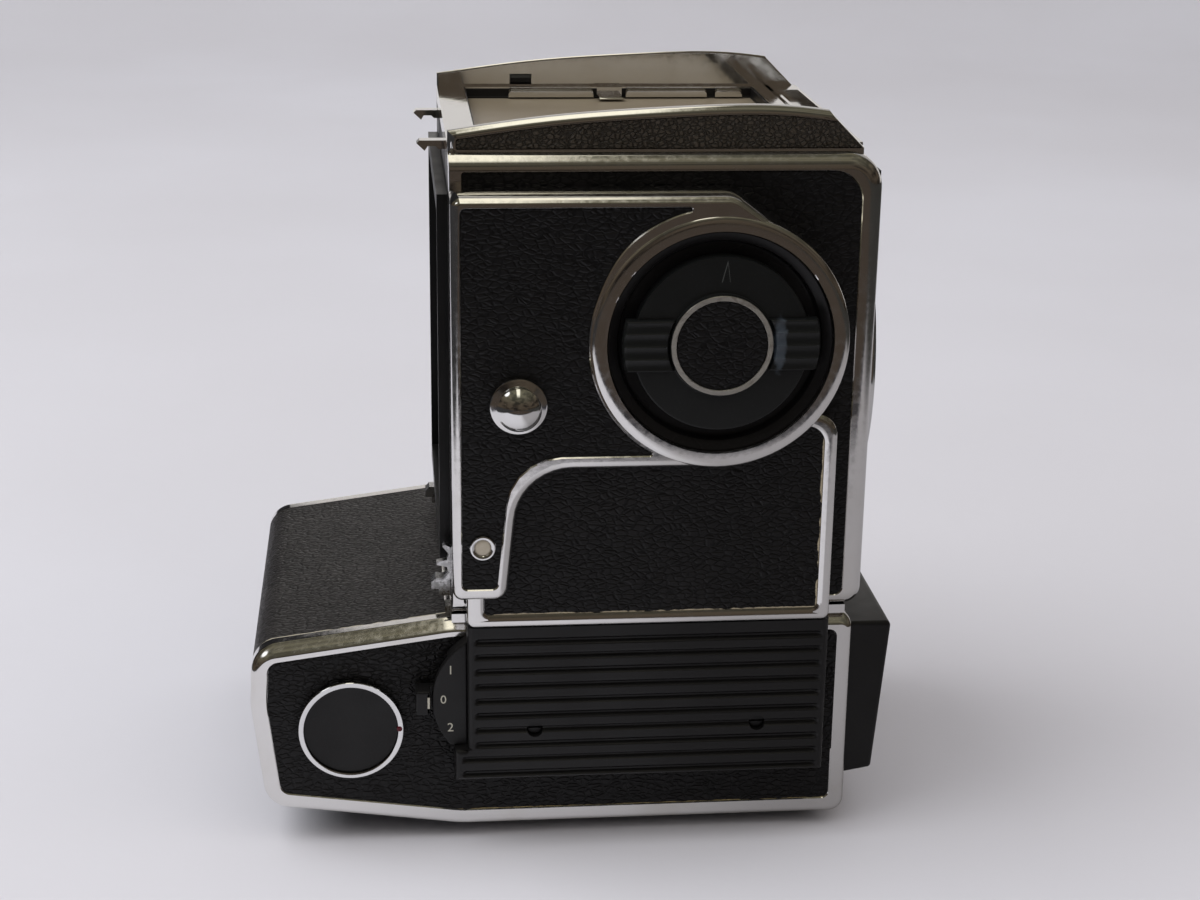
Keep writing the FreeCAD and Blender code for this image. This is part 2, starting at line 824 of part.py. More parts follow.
# Two clips that hold the screen down, one in each side of the opening
def make_clip():
    middle = (screen_rear_x + screen_front_x) / 2
    low_x = middle - clip_width / 2
    high_x = middle + clip_width / 2
    clip = box(low_x, high_x, opening_half - clip_reach, opening_half, rim_top, rim_top + clip_thickness)
    riser = box(low_x, high_x, opening_half - clip_riser, opening_half, rim_top + clip_thickness, seat_floor_z)
    return clip.fuse(riser)


parts["screen_clips"] = together([make_clip(), mirrored(make_clip())])


# Side cover: one bright casting, panel and ring together
def tangent_corner():
    """Point where the sloping shoulder from the cover's top corner meets the ring."""
    away_x = cover_corner_x - cap_x
    away_z = cover_top_z - cap_z
    distance = math.hypot(away_x, away_z)
    bearing = math.atan2(away_z, away_x) - math.acos(ring_radius / distance)
    return cap_x + ring_radius * math.cos(bearing), cap_z + ring_radius * math.sin(bearing)


def cover_face():
    tangent_x, tangent_z = tangent_corner()
    return rounded_face([(rear_x, cover_bottom_z, cover_rear_radius),
                         (cover_tail_x, cover_bottom_z, cover_tail_radius),
                         (cover_sweep_x, cover_sweep_z, cover_sweep_radius), (cap_x, cover_sweep_z, 0),
                         (cap_x, cap_z, 0), (tangent_x, tangent_z, 0),
                         (cover_corner_x, cover_top_z, cover_corner_radius),
                         (rear_x, cover_top_z, cover_rear_radius)])


def cover_block(front_y, ring_front_y, ring_r, panel):
    return slab_y(panel, -side_y, front_y).fuse(rod_y(cap_x, cap_z, ring_r, ring_front_y, -side_y))


cover_inner_y = cover_y + cover_wall + cover_lip
signal_hole = rod_y(signal_x, signal_z, signal_glass_radius, cover_y, -side_y)


def panel_recess_face():
    """Outline of the leather inside the cover's rim."""
    left = rear_x + cover_rim
    low = cover_bottom_z + cover_rim
    step = cover_sweep_z + cover_rim - cover_lip
    top = cover_top_z - cover_top_rim
    return rounded_face([(left, low, cover_recess_radius),
                         (cover_tail_x - cover_rim, low, cover_recess_radius),
                         (cover_sweep_x - cover_rim, step, cover_sweep_radius), (cap_x, step, 0),
                         (cap_x, cap_z, 0), (panel_corner_x, top, 0),
                         (left, top, cover_recess_radius)])


def make_cover_leather():
    pad = slab_y(panel_recess_face(), cover_y + leather_recess - leather_thickness, cover_y + leather_recess)
    return pad.cut(rod_y(cap_x, cap_z, ring_radius + ring_step, cover_y - 1, -side_y))


def make_side_cover():
    panel = slab_y(cover_face(), cover_y, -side_y)
    middle = V(cap_x, cover_y, cap_z)
    panel = chamfer_where(panel, cover_chamfer, lambda edge: lies_in_y(edge, cover_y)
                          and edge.BoundBox.getPoint(0).distanceToPoint(middle) > ring_bore_radius)
    ring = rod_y(cap_x, cap_z, ring_radius, ring_y, -side_y)
    ring = chamfer_where(ring, ring_chamfer, lambda edge: lies_in_y(edge, ring_y))
    outer = panel.fuse(ring)
    inner = slab_y(inset(cover_face(), cover_wall), cover_inner_y, -side_y)
    inner = inner.fuse(rod_y(cap_x, cap_z, ring_radius - cover_wall, well_floor_y, -side_y))
    bore = rod_y(cap_x, cap_z, ring_bore_radius, ring_y, -side_y)
    recess = slab_y(panel_recess_face(), cover_y, cover_y + leather_recess)
    recess = recess.cut(rod_y(cap_x, cap_z, ring_radius + ring_step, cover_y - 1, -side_y))
    window = box(cap_x - window_left, cap_x + window_right, gear_front_y - gear_room, -side_y,
                 cover_sweep_z - window_low, cap_z - window_high)
    cover = outer.cut([inner, bore, recess, window, signal_hole, lug_hole])
    return cover.cut(rod_y(lug_x, lug_z, lug_stem_radius, cover_y, -side_y))


parts["side_cover"] = make_side_cover()
cover_leather = make_cover_leather()
lug_stem_hole = rod_y(lug_x, lug_z, lug_stem_radius, cover_y, -side_y)
signal_seat = rod_y(signal_x, signal_z, signal_radius, cover_y, -side_y)
parts["side_cover_leather"] = cover_leather.cut([lug_stem_hole, signal_seat])


# Gear housing: second casting, cut away where the cover overlaps it
def housing_face():
    return rounded_face([(housing_left_x, shell_bottom, housing_low_radius),
                         (housing_right_x, shell_bottom, housing_low_radius),
                         (housing_right_x, housing_top_z, housing_corner_radius),
                         (housing_left_x, housing_top_z, 0)])


cover_solid = cover_block(cover_y, ring_y, ring_radius, cover_face())


def housing_leather_face():
    left = housing_left_x + housing_left_rim
    right = housing_right_x - housing_rim
    low = shell_bottom + housing_rim
    high = housing_top_z - housing_rim
    return rounded_face([(left, low, 1.0), (right, low, 1.0), (right, high, housing_corner_radius - 1),
                         (left, high, 0)])


def make_gear_housing():
    outer = slab_y(housing_face(), housing_y, -side_y).cut(cover_solid)
    recess = slab_y(housing_leather_face(), housing_y, housing_y + leather_recess)
    hollow = box(cap_x - hollow_left, housing_right_x - housing_left_rim, housing_y + housing_wall, -side_y,
                 shell_bottom, housing_top_z - housing_top_wall)
    return outer.cut([recess, hollow])


housing_solids = sorted(make_gear_housing().Solids, key=lambda solid: -solid.Volume)
parts["gear_housing"] = housing_solids[0]
housing_leather = slab_y(housing_leather_face(), housing_y + leather_recess - leather_thickness,
                         housing_y + leather_recess).cut(cover_solid)
parts["gear_housing_leather"] = sorted(housing_leather.Solids, key=lambda solid: -solid.Volume)[0]


# Gears
def gear(x, z, teeth, first_angle, bore, thickness=gear_thickness, back_y=gear_back_y):
    """Spur gear along Y: root disc with tapered teeth, its first tooth at an angle from +X towards +Z."""
    pitch_radius = teeth * pitch_diameter_per_tooth / 2
    root = pitch_radius - tooth_dedendum
    tip = pitch_radius + tooth_addendum
    body = Part.makeCylinder(root, thickness, V(0, 0, 0), V(0, -1, 0))
    half_root = tooth_root_width / 2
    half_tip = tooth_tip_width / 2
    start = math.sqrt(root * root - half_root * half_root) - gear_root_overlap
    blade = Part.makePolygon([V(start, 0, -half_root), V(root, 0, -half_root), V(tip, 0, -half_tip),
                              V(tip, 0, half_tip), V(root, 0, half_root), V(start, 0, half_root),
                              V(start, 0, -half_root)])
    tooth = Part.Face(blade).extrude(V(0, -thickness, 0))
    blades = []
    for i in range(teeth):
        copy = tooth.copy()
        copy.rotate(V(0, 0, 0), V(0, -1, 0), 360.0 * i / teeth)
        blades.append(copy)
    wheel = body.fuse(blades)
    if bore > 0:
        wheel = wheel.cut(Part.makeCylinder(bore, thickness, V(0, 0, 0), V(0, -1, 0)))
    wheel.rotate(V(0, 0, 0), V(0, -1, 0), first_angle)
    wheel.translate(V(x, back_y, z))
    return wheel.removeSplitter()


def next_gear(x, z, teeth, first_angle, direction, next_teeth):
    """Centre and first tooth angle of the gear that meshes in a direction given in degrees."""
    reach = (teeth + next_teeth) * pitch_diameter_per_tooth / 2 + gear_centre_play
    next_x = x + reach * math.cos(math.radians(direction))
    next_z = z + reach * math.sin(math.radians(direction))
    turned = (direction - first_angle) / (360.0 / teeth)
    next_angle = direction + 180.0 + (360.0 / next_teeth) * (turned - 0.5)
    return next_x, next_z, next_angle % (360.0 / next_teeth)


upper_x, upper_z, upper_angle = next_gear(cap_x, cap_z, winding_teeth, 0.0, winding_to_upper, upper_teeth)
middle_x, middle_z, middle_angle = next_gear(upper_x, upper_z, upper_teeth, upper_angle,
                                             upper_to_middle, middle_teeth)
lower_x, lower_z, lower_angle = next_gear(middle_x, middle_z, middle_teeth, middle_angle,
                                          middle_to_lower, lower_teeth)
pinion_x, pinion_z, pinion_angle = next_gear(lower_x, lower_z, lower_teeth, lower_angle,
                                             lower_to_pinion, pinion_teeth)

plate_front_y = -side_y - bearing_plate_thickness
pin_hole = gear_pin_radius + running_fit


def geared(x, z, teeth, angle):
    return gear(x, z, teeth, angle, pin_hole)


parts["upper_gear"] = geared(upper_x, upper_z, upper_teeth, upper_angle)
parts["middle_gear"] = geared(middle_x, middle_z, middle_teeth, middle_angle)
parts["lower_gear"] = geared(lower_x, lower_z, lower_teeth, lower_angle)

winding_shaft = rod_y(cap_x, cap_z, shaft_radius, cap_face_y + cap_depth, -side_y)
parts["winding_gear"] = gear(cap_x, cap_z, winding_teeth, 0.0, 0).fuse(winding_shaft)

motor_shaft = rod_y(pinion_x, pinion_z, motor_shaft_radius, gear_back_y, motor_right_y)
parts["motor_pinion"] = gear(pinion_x, pinion_z, pinion_teeth, pinion_angle, 0).fuse(motor_shaft)

magazine_back_y = -(box_inner_half + box_wall) - magazine_gear_gap
parts["magazine_gear"] = gear(magazine_gear_x, magazine_gear_z, magazine_teeth, magazine_first_angle,
                              magazine_pin_radius + running_fit, magazine_gear_thickness, magazine_back_y)


# Bearing plate that carries the gear pins
def make_gear_plate():
    upper_piece = box(cap_x - plate_half, cap_x + plate_half, plate_front_y, -side_y,
                      middle_z - plate_half / 2, cap_z + plate_half)
    upper_piece = upper_piece.cut(rod_y(cap_x, cap_z, shaft_radius + running_fit, plate_front_y, -side_y))
    plate = upper_piece.fuse(box(lower_x - plate_half, lower_x + plate_half, plate_front_y, -side_y,
                                 lower_z - plate_half, middle_z))
    for x, z in ((upper_x, upper_z), (middle_x, middle_z), (lower_x, lower_z)):
        plate = plate.fuse(rod_y(x, z, gear_pin_radius, gear_front_y - gear_pin_rise, -side_y))
    return plate.removeSplitter()


parts["gear_plate"] = make_gear_plate()


# Well that lines the ring, with the bearing of the winding shaft
def make_well():
    mouth_y = ring_y + well_setback
    cup = rod_y(cap_x, cap_z, ring_bore_radius, mouth_y, well_floor_y + well_floor_thickness)
    slope = Part.makeCone(ring_bore_radius - well_wall / 2, ring_bore_radius - 2 * well_wall,
                          well_floor_y - mouth_y, V(cap_x, mouth_y, cap_z), V(0, 1, 0))
    return cup.cut([slope, rod_y(cap_x, cap_z, shaft_radius + running_fit, ring_y, -side_y)])


parts["cap_well"] = make_well()


# Winding cap: dial disc, ribbed wings, bright ring and centre disc
def make_cap():
    disc = rod_y(cap_x, cap_z, cap_radius, cap_face_y, cap_face_y + cap_depth)
    disc = chamfer_where(disc, cap_chamfer, lambda edge: lies_in_y(edge, cap_face_y))
    wing_y = cap_face_y - wing_rise
    wings = box(cap_x - wing_half_length, cap_x + wing_half_length, wing_y, cap_face_y + cap_depth,
                cap_z - wing_width / 2, cap_z + wing_width / 2)
    wings = wings.common(rod_y(cap_x, cap_z, wing_half_length, wing_y, cap_face_y + cap_depth))
    for i in range(wing_ribs - 1):
        z = cap_z + (i - (wing_ribs - 2) / 2) * wing_rib_pitch
        wings = wings.cut(box(cap_x - wing_half_length, cap_x + wing_half_length, wing_y,
                              wing_y + wing_groove, z - wing_groove / 2, z + wing_groove / 2))
    hub = rod_y(cap_x, cap_z, hub_ring_radius + hub_rim, hub_front_y, cap_face_y)
    cap = disc.fuse([wings, hub]).removeSplitter()
    seat = rod_y(cap_x, cap_z, hub_ring_radius, wing_y, hub_seat_y)
    return cap.cut([seat, rod_y(cap_x, cap_z, shaft_radius, cap_face_y, cap_face_y + cap_depth)])


hub_front_y = cap_face_y - hub_rise
hub_seat_y = hub_front_y + hub_seat_depth
parts["winding_cap"] = make_cap()
hub_inner = hub_ring_radius - hub_ring_width
hub_ring = rod_y(cap_x, cap_z, hub_ring_radius, hub_front_y, hub_seat_y)
parts["winding_cap_ring"] = hub_ring.cut(rod_y(cap_x, cap_z, hub_inner, hub_front_y, hub_seat_y))
parts["winding_cap_disc"] = rod_y(cap_x, cap_z, hub_inner, hub_front_y + hub_disc_recess, hub_seat_y)


# Strap lugs, one on each side
def make_lug(face_y, inner_y):
    foot = rod_y(lug_x, lug_z, lug_foot_radius, face_y - lug_foot_height, face_y)
    neck = rod_y(lug_x, lug_z, lug_neck_radius, face_y - lug_height, face_y)
    ball_y = face_y - lug_height - lug_dome + lug_ball_radius
    ball = Part.makeSphere(lug_ball_radius, V(lug_x, ball_y, lug_z))
    head = rod_y(lug_x, lug_z, lug_head_radius, ball_y - lug_ball_radius, face_y - lug_height + lug_dome)
    head = head.common(ball)
    stem = rod_y(lug_x, lug_z, lug_stem_radius, face_y, inner_y)
    return foot.fuse([neck, head, stem]).removeSplitter()


lug_face_y = cover_y + leather_recess - leather_thickness
right_lug = make_lug(lug_face_y, -inner_side_y)
left_lug = mirrored(make_lug(-side_y, -inner_side_y))
parts["strap_lugs"] = together([right_lug, left_lug])

# Signal window: bezel, glass and the flag that slides behind it
bezel = rod_y(signal_x, signal_z, signal_radius, cover_y - bezel_rise, cover_y + leather_recess)
parts["signal_bezel"] = bezel.cut(rod_y(signal_x, signal_z, signal_glass_radius, cover_y - 1, -side_y))
parts["signal_glass"] = rod_y(signal_x, signal_z, signal_glass_radius, cover_y, cover_y + leather_recess)
flag_y = cover_inner_y + flag_gap
parts["signal_flag"] = box(signal_x - flag_half_width, signal_x + flag_half_width,
                           flag_y, flag_y + flag_thickness,
                           signal_z - flag_half_height, signal_z + flag_half_height + signal_travel)


# Motor base: hollow casting with a sloping tail under the magazine
def base_face():
    return rounded_face([(base_front_x, base_top_z, base_front_radius),
                         (base_front_x, base_bottom, base_front_radius),
                         (base_tail_bottom_x, base_bottom, base_bend_radius),
                         (base_tail_x + base_tail_low_inset, base_tail_low_z, base_corner_radius),
                         (base_tail_x, base_tail_mid_z, base_bend_radius),
                         (base_tail_x + base_tail_top_inset, base_tail_top_z, base_corner_radius),
                         (rear_x, base_top_z, base_bend_radius)])


def base_shell_inner():
    return slab_y(inset(base_face(), base_wall), -side_y + base_wall, side_y - base_wall)


def left_pad():
    """Leather on the left side, in front of the battery door."""
    pad = mirrored(slab_y(side_pad(), -side_y, -side_y + leather_thickness))
    door_room = box(base_tail_x, bay_front_x + door_overlap + door_leather_gap,
                    side_y - leather_thickness, side_y, base_bottom, base_top_z)
    return pad.cut(door_room)


battery_bay = box(bay_rear_x, bay_front_x, side_y - base_wall, side_y, bay_bottom_z, bay_top_z)


def make_base():
    outer = slab_y(base_face(), -side_y, side_y)
    outer = fillet_where(outer, base_edge_radius,
                         lambda edge: lies_in_y(edge, -side_y) or lies_in_y(edge, side_y))
    boss_hole = rod_z(0, 0, tripod_boss_radius, base_bottom, base_bottom + base_wall)
    shaft_hole = rod_y(pinion_x, pinion_z, motor_shaft_radius + shaft_clearance, -side_y,
                       -side_y + base_wall)
    selector_hole = rod_y(selector_x, selector_z, selector_stem_radius + running_fit, -side_y,
                          -side_y + base_wall)
    base = outer.cut([base_shell_inner(), battery_bay, boss_hole, shaft_hole, selector_hole])
    divider = box(rear_x - divider_thickness, rear_x, -side_y + base_wall, side_y - base_wall,
                  base_bottom + base_wall / 2, base_top_z - base_wall / 2)
    deck = box(rear_x, front_x - shell_edge_radius, -side_y + deck_inset, side_y - deck_inset,
               base_top_z, shell_bottom)
    return base.fuse([divider, deck]).cut(base_leather_pads()).removeSplitter()


def side_pad():
    """Leather outline on the base's side, inside its bright rim."""
    return inset(base_face(), base_rim)


def base_leather_pads():
    right = slab_y(side_pad(), -side_y, -side_y + leather_thickness)
    return [right, left_pad(), tail_wrap()]


def tail_wrap():
    """Leather that runs over the tail's top and down its rear, between the side rims."""
    half = side_y - base_rim
    outer = slab_y(base_face(), -half, half)
    inner = slab_y(inset(base_face(), leather_thickness), -half, half)
    region = box(base_tail_x, rear_x - wrap_start, -half, half, base_tail_low_z + wrap_low, shell_bottom)
    return outer.cut(inner).common(region)


parts["motor_housing"] = make_base()
base_right_leather = slab_y(side_pad(), -side_y, -side_y + leather_thickness)
selector_stem_hole = rod_y(selector_x, selector_z, selector_stem_radius + running_fit, -side_y, 0)
shaft_clear = rod_y(pinion_x, pinion_z, motor_shaft_radius + shaft_clearance, -side_y, 0)
parts["base_side_leathers"] = together([base_right_leather.cut([selector_stem_hole, shaft_clear]),
                                        left_pad()])
parts["base_rear_leather"] = tail_wrap()


# Grip panel with ribs, its screws, and the gears' hollow behind it
def make_grip():
    radius = grip_corner_radius
    face = rounded_face([(grip_tail_x, grip_bottom_z, radius), (grip_right_x, grip_bottom_z, radius),
                         (grip_right_x, shell_bottom, 0), (grip_left_x, shell_bottom, 0),
                         (grip_left_x, grip_tail_z, 0), (grip_tail_x, grip_tail_z, radius)])
    panel = slab_y(face, grip_y, -side_y)
    hollow = box(pinion_x - pinion_room, lower_x + wheel_room, grip_y + grip_wall, -side_y,
                 lower_z - wheel_room, shell_bottom)
    lever_room = box(grip_left_x, lever_x + lever_hub_radius + lever_gap, grip_y + grip_wall, -side_y,
                     lever_z - lever_swing_room, lever_z + lever_swing_room)
    panel = panel.cut([hollow, lever_room])
    for i in range(grip_grooves):
        z = groove_first_z + i * groove_pitch
        start = grip_tail_x if i < long_grooves else grip_left_x
        panel = panel.cut(box(start + groove_end, grip_right_x - groove_end, grip_y, grip_y + groove_depth,
                              z - groove_width / 2, z + groove_width / 2))
    for x in (grip_screw_left_x, grip_screw_right_x):
        panel = panel.cut(rod_y(x, grip_screw_z, grip_screw_radius, grip_y, -side_y))
    return panel


parts["grip_panel"] = make_grip()


def make_grip_screw(x):
    top_y = grip_y + grip_screw_recess
    half = grip_screw_slot / 2
    head = rod_y(x, grip_screw_z, grip_screw_radius, top_y, -side_y)
    return head.cut(box(x - grip_screw_radius, x + grip_screw_radius, top_y, top_y + grip_screw_slot,
                        grip_screw_z - half, grip_screw_z + half))


parts["grip_screws"] = together([make_grip_screw(grip_screw_left_x), make_grip_screw(grip_screw_right_x)])


# Mode lever between the base's side and its plate
lever_back_y = -side_y - lever_gap
lever_front_y = lever_back_y - lever_thickness


def make_mode_plate():
    disc = rod_y(lever_x, lever_z, plate_radius, -side_y - plate_depth, -side_y)
    keep = box(lever_x - plate_radius, grip_left_x, -side_y - plate_depth, -side_y,
               grip_tail_z, lever_z + plate_radius)
    slot = box(lever_x - plate_radius, grip_left_x, lever_front_y - lever_gap, -side_y,
               lever_z - lever_swing_room, lever_z + lever_swing_room)
    return disc.common(keep).cut(slot)


parts["mode_plate"] = make_mode_plate()


def make_lever():
    hub = rod_y(lever_x, lever_z, lever_hub_radius, lever_front_y, lever_back_y)
    arm = box(lever_x - lever_reach, lever_x, lever_front_y, lever_back_y,
              lever_z - lever_width / 2, lever_z + lever_width / 2)
    nose_y = lever_front_y - lever_nose
    nose = box(lever_x - lever_reach, lever_x - plate_radius - lever_gap, nose_y, lever_back_y,
               lever_z - lever_width / 2, lever_z + lever_width / 2)
    nose = chamfer_where(nose, lever_chamfer, lambda edge: lies_in_y(edge, nose_y))
    lever = hub.fuse([arm, nose]).removeSplitter()
    return lever.cut(rod_y(lever_x, lever_z, gear_pin_radius + running_fit, lever_front_y, lever_back_y))


parts["mode_lever"] = make_lever()
lever_pin = rod_y(lever_x, lever_z, gear_pin_radius, grip_y + grip_wall, -side_y)
parts["grip_panel"] = parts["grip_panel"].fuse(lever_pin)

# Selector knob and its bright ring
selector_face_y = -side_y - selector_height
selector_inner = selector_radius - selector_ring_width
selector_back_y = -side_y - selector_gap
ring_blank = rod_y(selector_x, selector_z, selector_radius, selector_face_y, selector_back_y)
ring_blank = chamfer_where(ring_blank, selector_chamfer, lambda edge: lies_in_y(edge, selector_face_y))
parts["selector_ring"] = ring_blank.cut(rod_y(selector_x, selector_z, selector_inner,
                                              selector_face_y, -side_y))
knob = rod_y(selector_x, selector_z, selector_inner, selector_face_y + selector_recess, selector_back_y)
parts["selector_knob"] = knob.fuse(rod_y(selector_x, selector_z, selector_stem_radius, selector_back_y,
                                         -side_y + base_wall + selector_stem_end))

# Motor and batteries inside the base
motor = rod_y(pinion_x, pinion_z, motor_radius, motor_right_y, motor_right_y + motor_length)
motor_nose_y = motor_right_y - motor_nose
motor = motor.fuse(rod_y(pinion_x, pinion_z, motor_nose_radius, motor_nose_y, motor_right_y))
motor_foot = box(pinion_x - motor_foot_half, -tripod_boss_radius - motor_foot_gap,
                 motor_right_y + motor_foot_end, motor_right_y + motor_length - motor_foot_end,
                 base_bottom + base_wall, pinion_z)
motor = motor.fuse(motor_foot)
parts["electric_motor"] = motor.cut(rod_y(pinion_x, pinion_z, motor_shaft_radius + running_fit,
                                          motor_nose_y, motor_right_y + 2 * motor_nose))
parts["motor_pinion"] = parts["motor_pinion"].fuse(
    rod_y(pinion_x, pinion_z, motor_shaft_radius, motor_right_y, motor_right_y + motor_nose))


def make_cell(x):
    body = rod_y(x, cell_z, cell_radius, cell_right_y, cell_right_y + cell_length)
    return body.fuse(rod_y(x, cell_z, cell_cap_radius, cell_right_y - cell_cap_height, cell_right_y))


cell_xs = (cell_middle_x - cell_spacing / 2, cell_middle_x + cell_spacing / 2)
parts["battery_cells"] = together([make_cell(x) for x in cell_xs])
contact_y = cell_right_y - cell_cap_height
contact_back_y = contact_y - contact_thickness
contact_plate = box(cell_xs[0] - contact_half, cell_xs[1] + contact_half, contact_back_y, contact_y,
                    cell_z - contact_half, cell_z + contact_half)
for x in cell_xs:
    contact_plate = contact_plate.fuse(box(x - contact_post_half, x + contact_post_half, -side_y + base_wall,
                                           contact_back_y, cell_z - contact_post_half,
                                           cell_z + contact_post_half))
cradle = box(bay_rear_x + cradle_inset, bay_front_x - cradle_inset / 2, -cradle_half, cradle_half, base_bottom + base_wall, cell_z)
cradle = cradle.cut([rod_y(x, cell_z, cell_radius + cradle_gap, -cradle_half, cradle_half) for x in cell_xs])
cradle = cradle.common(base_shell_inner())
parts["battery_contacts"] = contact_plate
parts["motor_housing"] = parts["motor_housing"].fuse(cradle)


# Battery door on the left side, hinged at its front edge
lid_back_y = side_y + lid_gap
lid_hinge_x = bay_front_x + door_overlap + lid_hinge_offset
lid_hinge_y = lid_back_y + lid_barrel_radius


def make_lid():
    leaf = box(bay_rear_x - door_overlap, lid_hinge_x, lid_back_y, lid_back_y + lid_thickness,
               bay_bottom_z - door_overlap, bay_top_z + door_overlap)
    barrel_low = bay_bottom_z + lid_barrel_inset
    barrel_high = bay_top_z - lid_barrel_inset
    barrel = rod_z(lid_hinge_x, lid_hinge_y, lid_barrel_radius, barrel_low, barrel_high)
    notch_x = lid_hinge_x - lid_barrel_radius - lid_notch_gap
    for low, high in ((bay_bottom_z - door_overlap, barrel_low), (barrel_high, bay_top_z + door_overlap)):
        leaf = leaf.cut(box(notch_x, lid_hinge_x, lid_back_y, lid_back_y + lid_thickness, low, high))
    lid = leaf.fuse(barrel)
    return lid.cut(rod_z(lid_hinge_x, lid_hinge_y, lid_pin_radius + running_fit,
                         barrel_low, barrel_high)).removeSplitter()


parts["battery_door"] = make_lid()


def make_door_ears():
    low_z = bay_bottom_z + lid_ear_inset
    high_z = bay_top_z - lid_ear_inset
    ears = [rod_z(lid_hinge_x, lid_hinge_y, lid_pin_radius, low_z, high_z)]
    for low in (low_z, high_z - lid_ear_height):
        ears.append(rod_z(lid_hinge_x, lid_hinge_y, lid_barrel_radius, low, low + lid_ear_height))
        ears.append(box(lid_hinge_x - lid_barrel_radius, lid_hinge_x + lid_barrel_radius,
                        side_y - 2 * leather_thickness, lid_hinge_y, low, low + lid_ear_height))
    return ears[0].fuse(ears[1:]).removeSplitter()


parts["motor_housing"] = parts["motor_housing"].fuse(make_door_ears())


# Release box on the front of the base, with button and cable socket
def front_reach(z):
    """How far the sloping front face stands out at a height."""
    share = (z - release_bottom_z) / (release_top_z - release_bottom_z)
    return base_front_x + release_bottom_reach + share * (release_top_reach - release_bottom_reach)


release_y = (release_near_y + release_far_y) / 2
button_face_x = front_reach(release_button_z)
release_shape = prism_y([(base_front_x, release_bottom_z), (front_reach(release_bottom_z), release_bottom_z),
                         (front_reach(release_top_z), release_top_z), (base_front_x, release_top_z)],
                        release_near_y, release_far_y)
release_shape = fillet_where(release_shape, release_edge_radius,
                             lambda edge: edge.BoundBox.XMin > base_front_x + 1)
release_back_x = base_front_x + release_floor
button_hole = rod_x(release_y, release_button_z, release_button_radius + release_stop_gap, release_back_x,
                    front_reach(release_top_z))
button_shaft_hole = rod_x(release_y, release_button_z, release_stem_radius + running_fit,
                          base_front_x, release_back_x)
socket_back_x = front_reach(socket_z) - socket_depth - socket_floor
socket_hole = rod_x(release_y, socket_z, socket_radius, socket_back_x, front_reach(release_top_z))
parts["release_box"] = release_shape.cut([button_hole, button_shaft_hole, socket_hole])
push_back_x = release_back_x + release_travel + release_stop_gap
push = rod_x(release_y, release_button_z, release_button_radius, push_back_x,
             button_face_x + release_button_rise)
push = chamfer_where(push, release_chamfer, lambda edge: edge.BoundBox.XLength < 1e-6
                     and edge.BoundBox.XMin > button_face_x)
parts["release_button"] = push.fuse(rod_x(release_y, release_button_z, release_stem_radius,
                                          base_front_x + release_travel + release_stop_gap, push_back_x))
socket_face_x = front_reach(socket_z) + socket_rise
socket = rod_x(release_y, socket_z, socket_radius, socket_back_x, socket_face_x)
parts["remote_socket"] = socket.cut(rod_x(release_y, socket_z, socket_bore_radius,
                                          socket_face_x - socket_depth, socket_face_x))


# Tripod plate with its thread, bevelled along both sides like a quick-coupling plate
def make_tripod_plate():
    half = tripod_width / 2
    profile = [(-half, base_bottom), (half, base_bottom), (half - tripod_bevel, 0), (-half + tripod_bevel, 0)]
    plate = slab_x(profile, -tripod_length / 2, tripod_length / 2)
    boss = rod_z(0, 0, tripod_boss_radius, 0, base_bottom + tripod_boss_height)
    return plate.fuse(boss).cut([rod_z(0, 0, thread_radius, 0, thread_depth)] + tripod_screw_spaces())


def screw_places():
    x = tripod_length / 2 - screw_inset
    y = tripod_width / 2 - screw_inset
    return [(sx * x, sy * y) for sx in (-1, 1) for sy in (-1, 1)]


def tripod_screw_spaces():
    return [rod_z(x, y, screw_head_radius, 0, screw_space_depth) for x, y in screw_places()]


def make_tripod_screw(x, y):
    head = rod_z(x, y, screw_head_radius, screw_recess, screw_space_depth)
    slot = box(x - screw_head_radius, x + screw_head_radius, y - screw_slot_width / 2, y + screw_slot_width / 2,
               screw_recess, screw_recess + screw_slot_depth)
    return head.cut(slot)


parts["tripod_plate"] = make_tripod_plate()
parts["housing_screws"] = together([make_tripod_screw(x, y) for x, y in screw_places()])


# Accessory rail on the left side
def make_rail():
    half = rail_width / 2
    foot = box(-rail_length / 2, rail_length / 2, side_y, side_y + rail_plate, rail_z - half, rail_z + half)
    pieces = [foot]
    for way in (-1, 1):
        edge = rail_z + way * half
        post = box(-rail_length / 2, rail_length / 2, side_y, side_y + rail_height,
                   edge, edge - way * rail_lip_thickness)
        lip = box(-rail_length / 2, rail_length / 2, side_y + rail_height - rail_lip_thickness,
                  side_y + rail_height, edge, edge - way * rail_lip)
        pieces += [post, lip]
    return pieces[0].fuse(pieces[1:]).removeSplitter()


parts["accessory_rail"] = make_rail()

os.makedirs("parts", exist_ok=True)
for name, shape in parts.items():
    shape.exportStep("parts/" + name + ".step")
    print(name, "solids", len(shape.Solids), "valid", shape.isValid(), "volume", round(shape.Volume, 1))
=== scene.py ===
# %% [markdown]
# A medium format film camera with a motor base, dressed in Blender.
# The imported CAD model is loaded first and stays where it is. It could be rebuilt from scratch here,
# but every bearing and seat was measured there, so the pieces made below are laid over it.

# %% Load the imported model
import bpy
import bmesh
import math
import numpy as np
from mathutils import Matrix, Vector


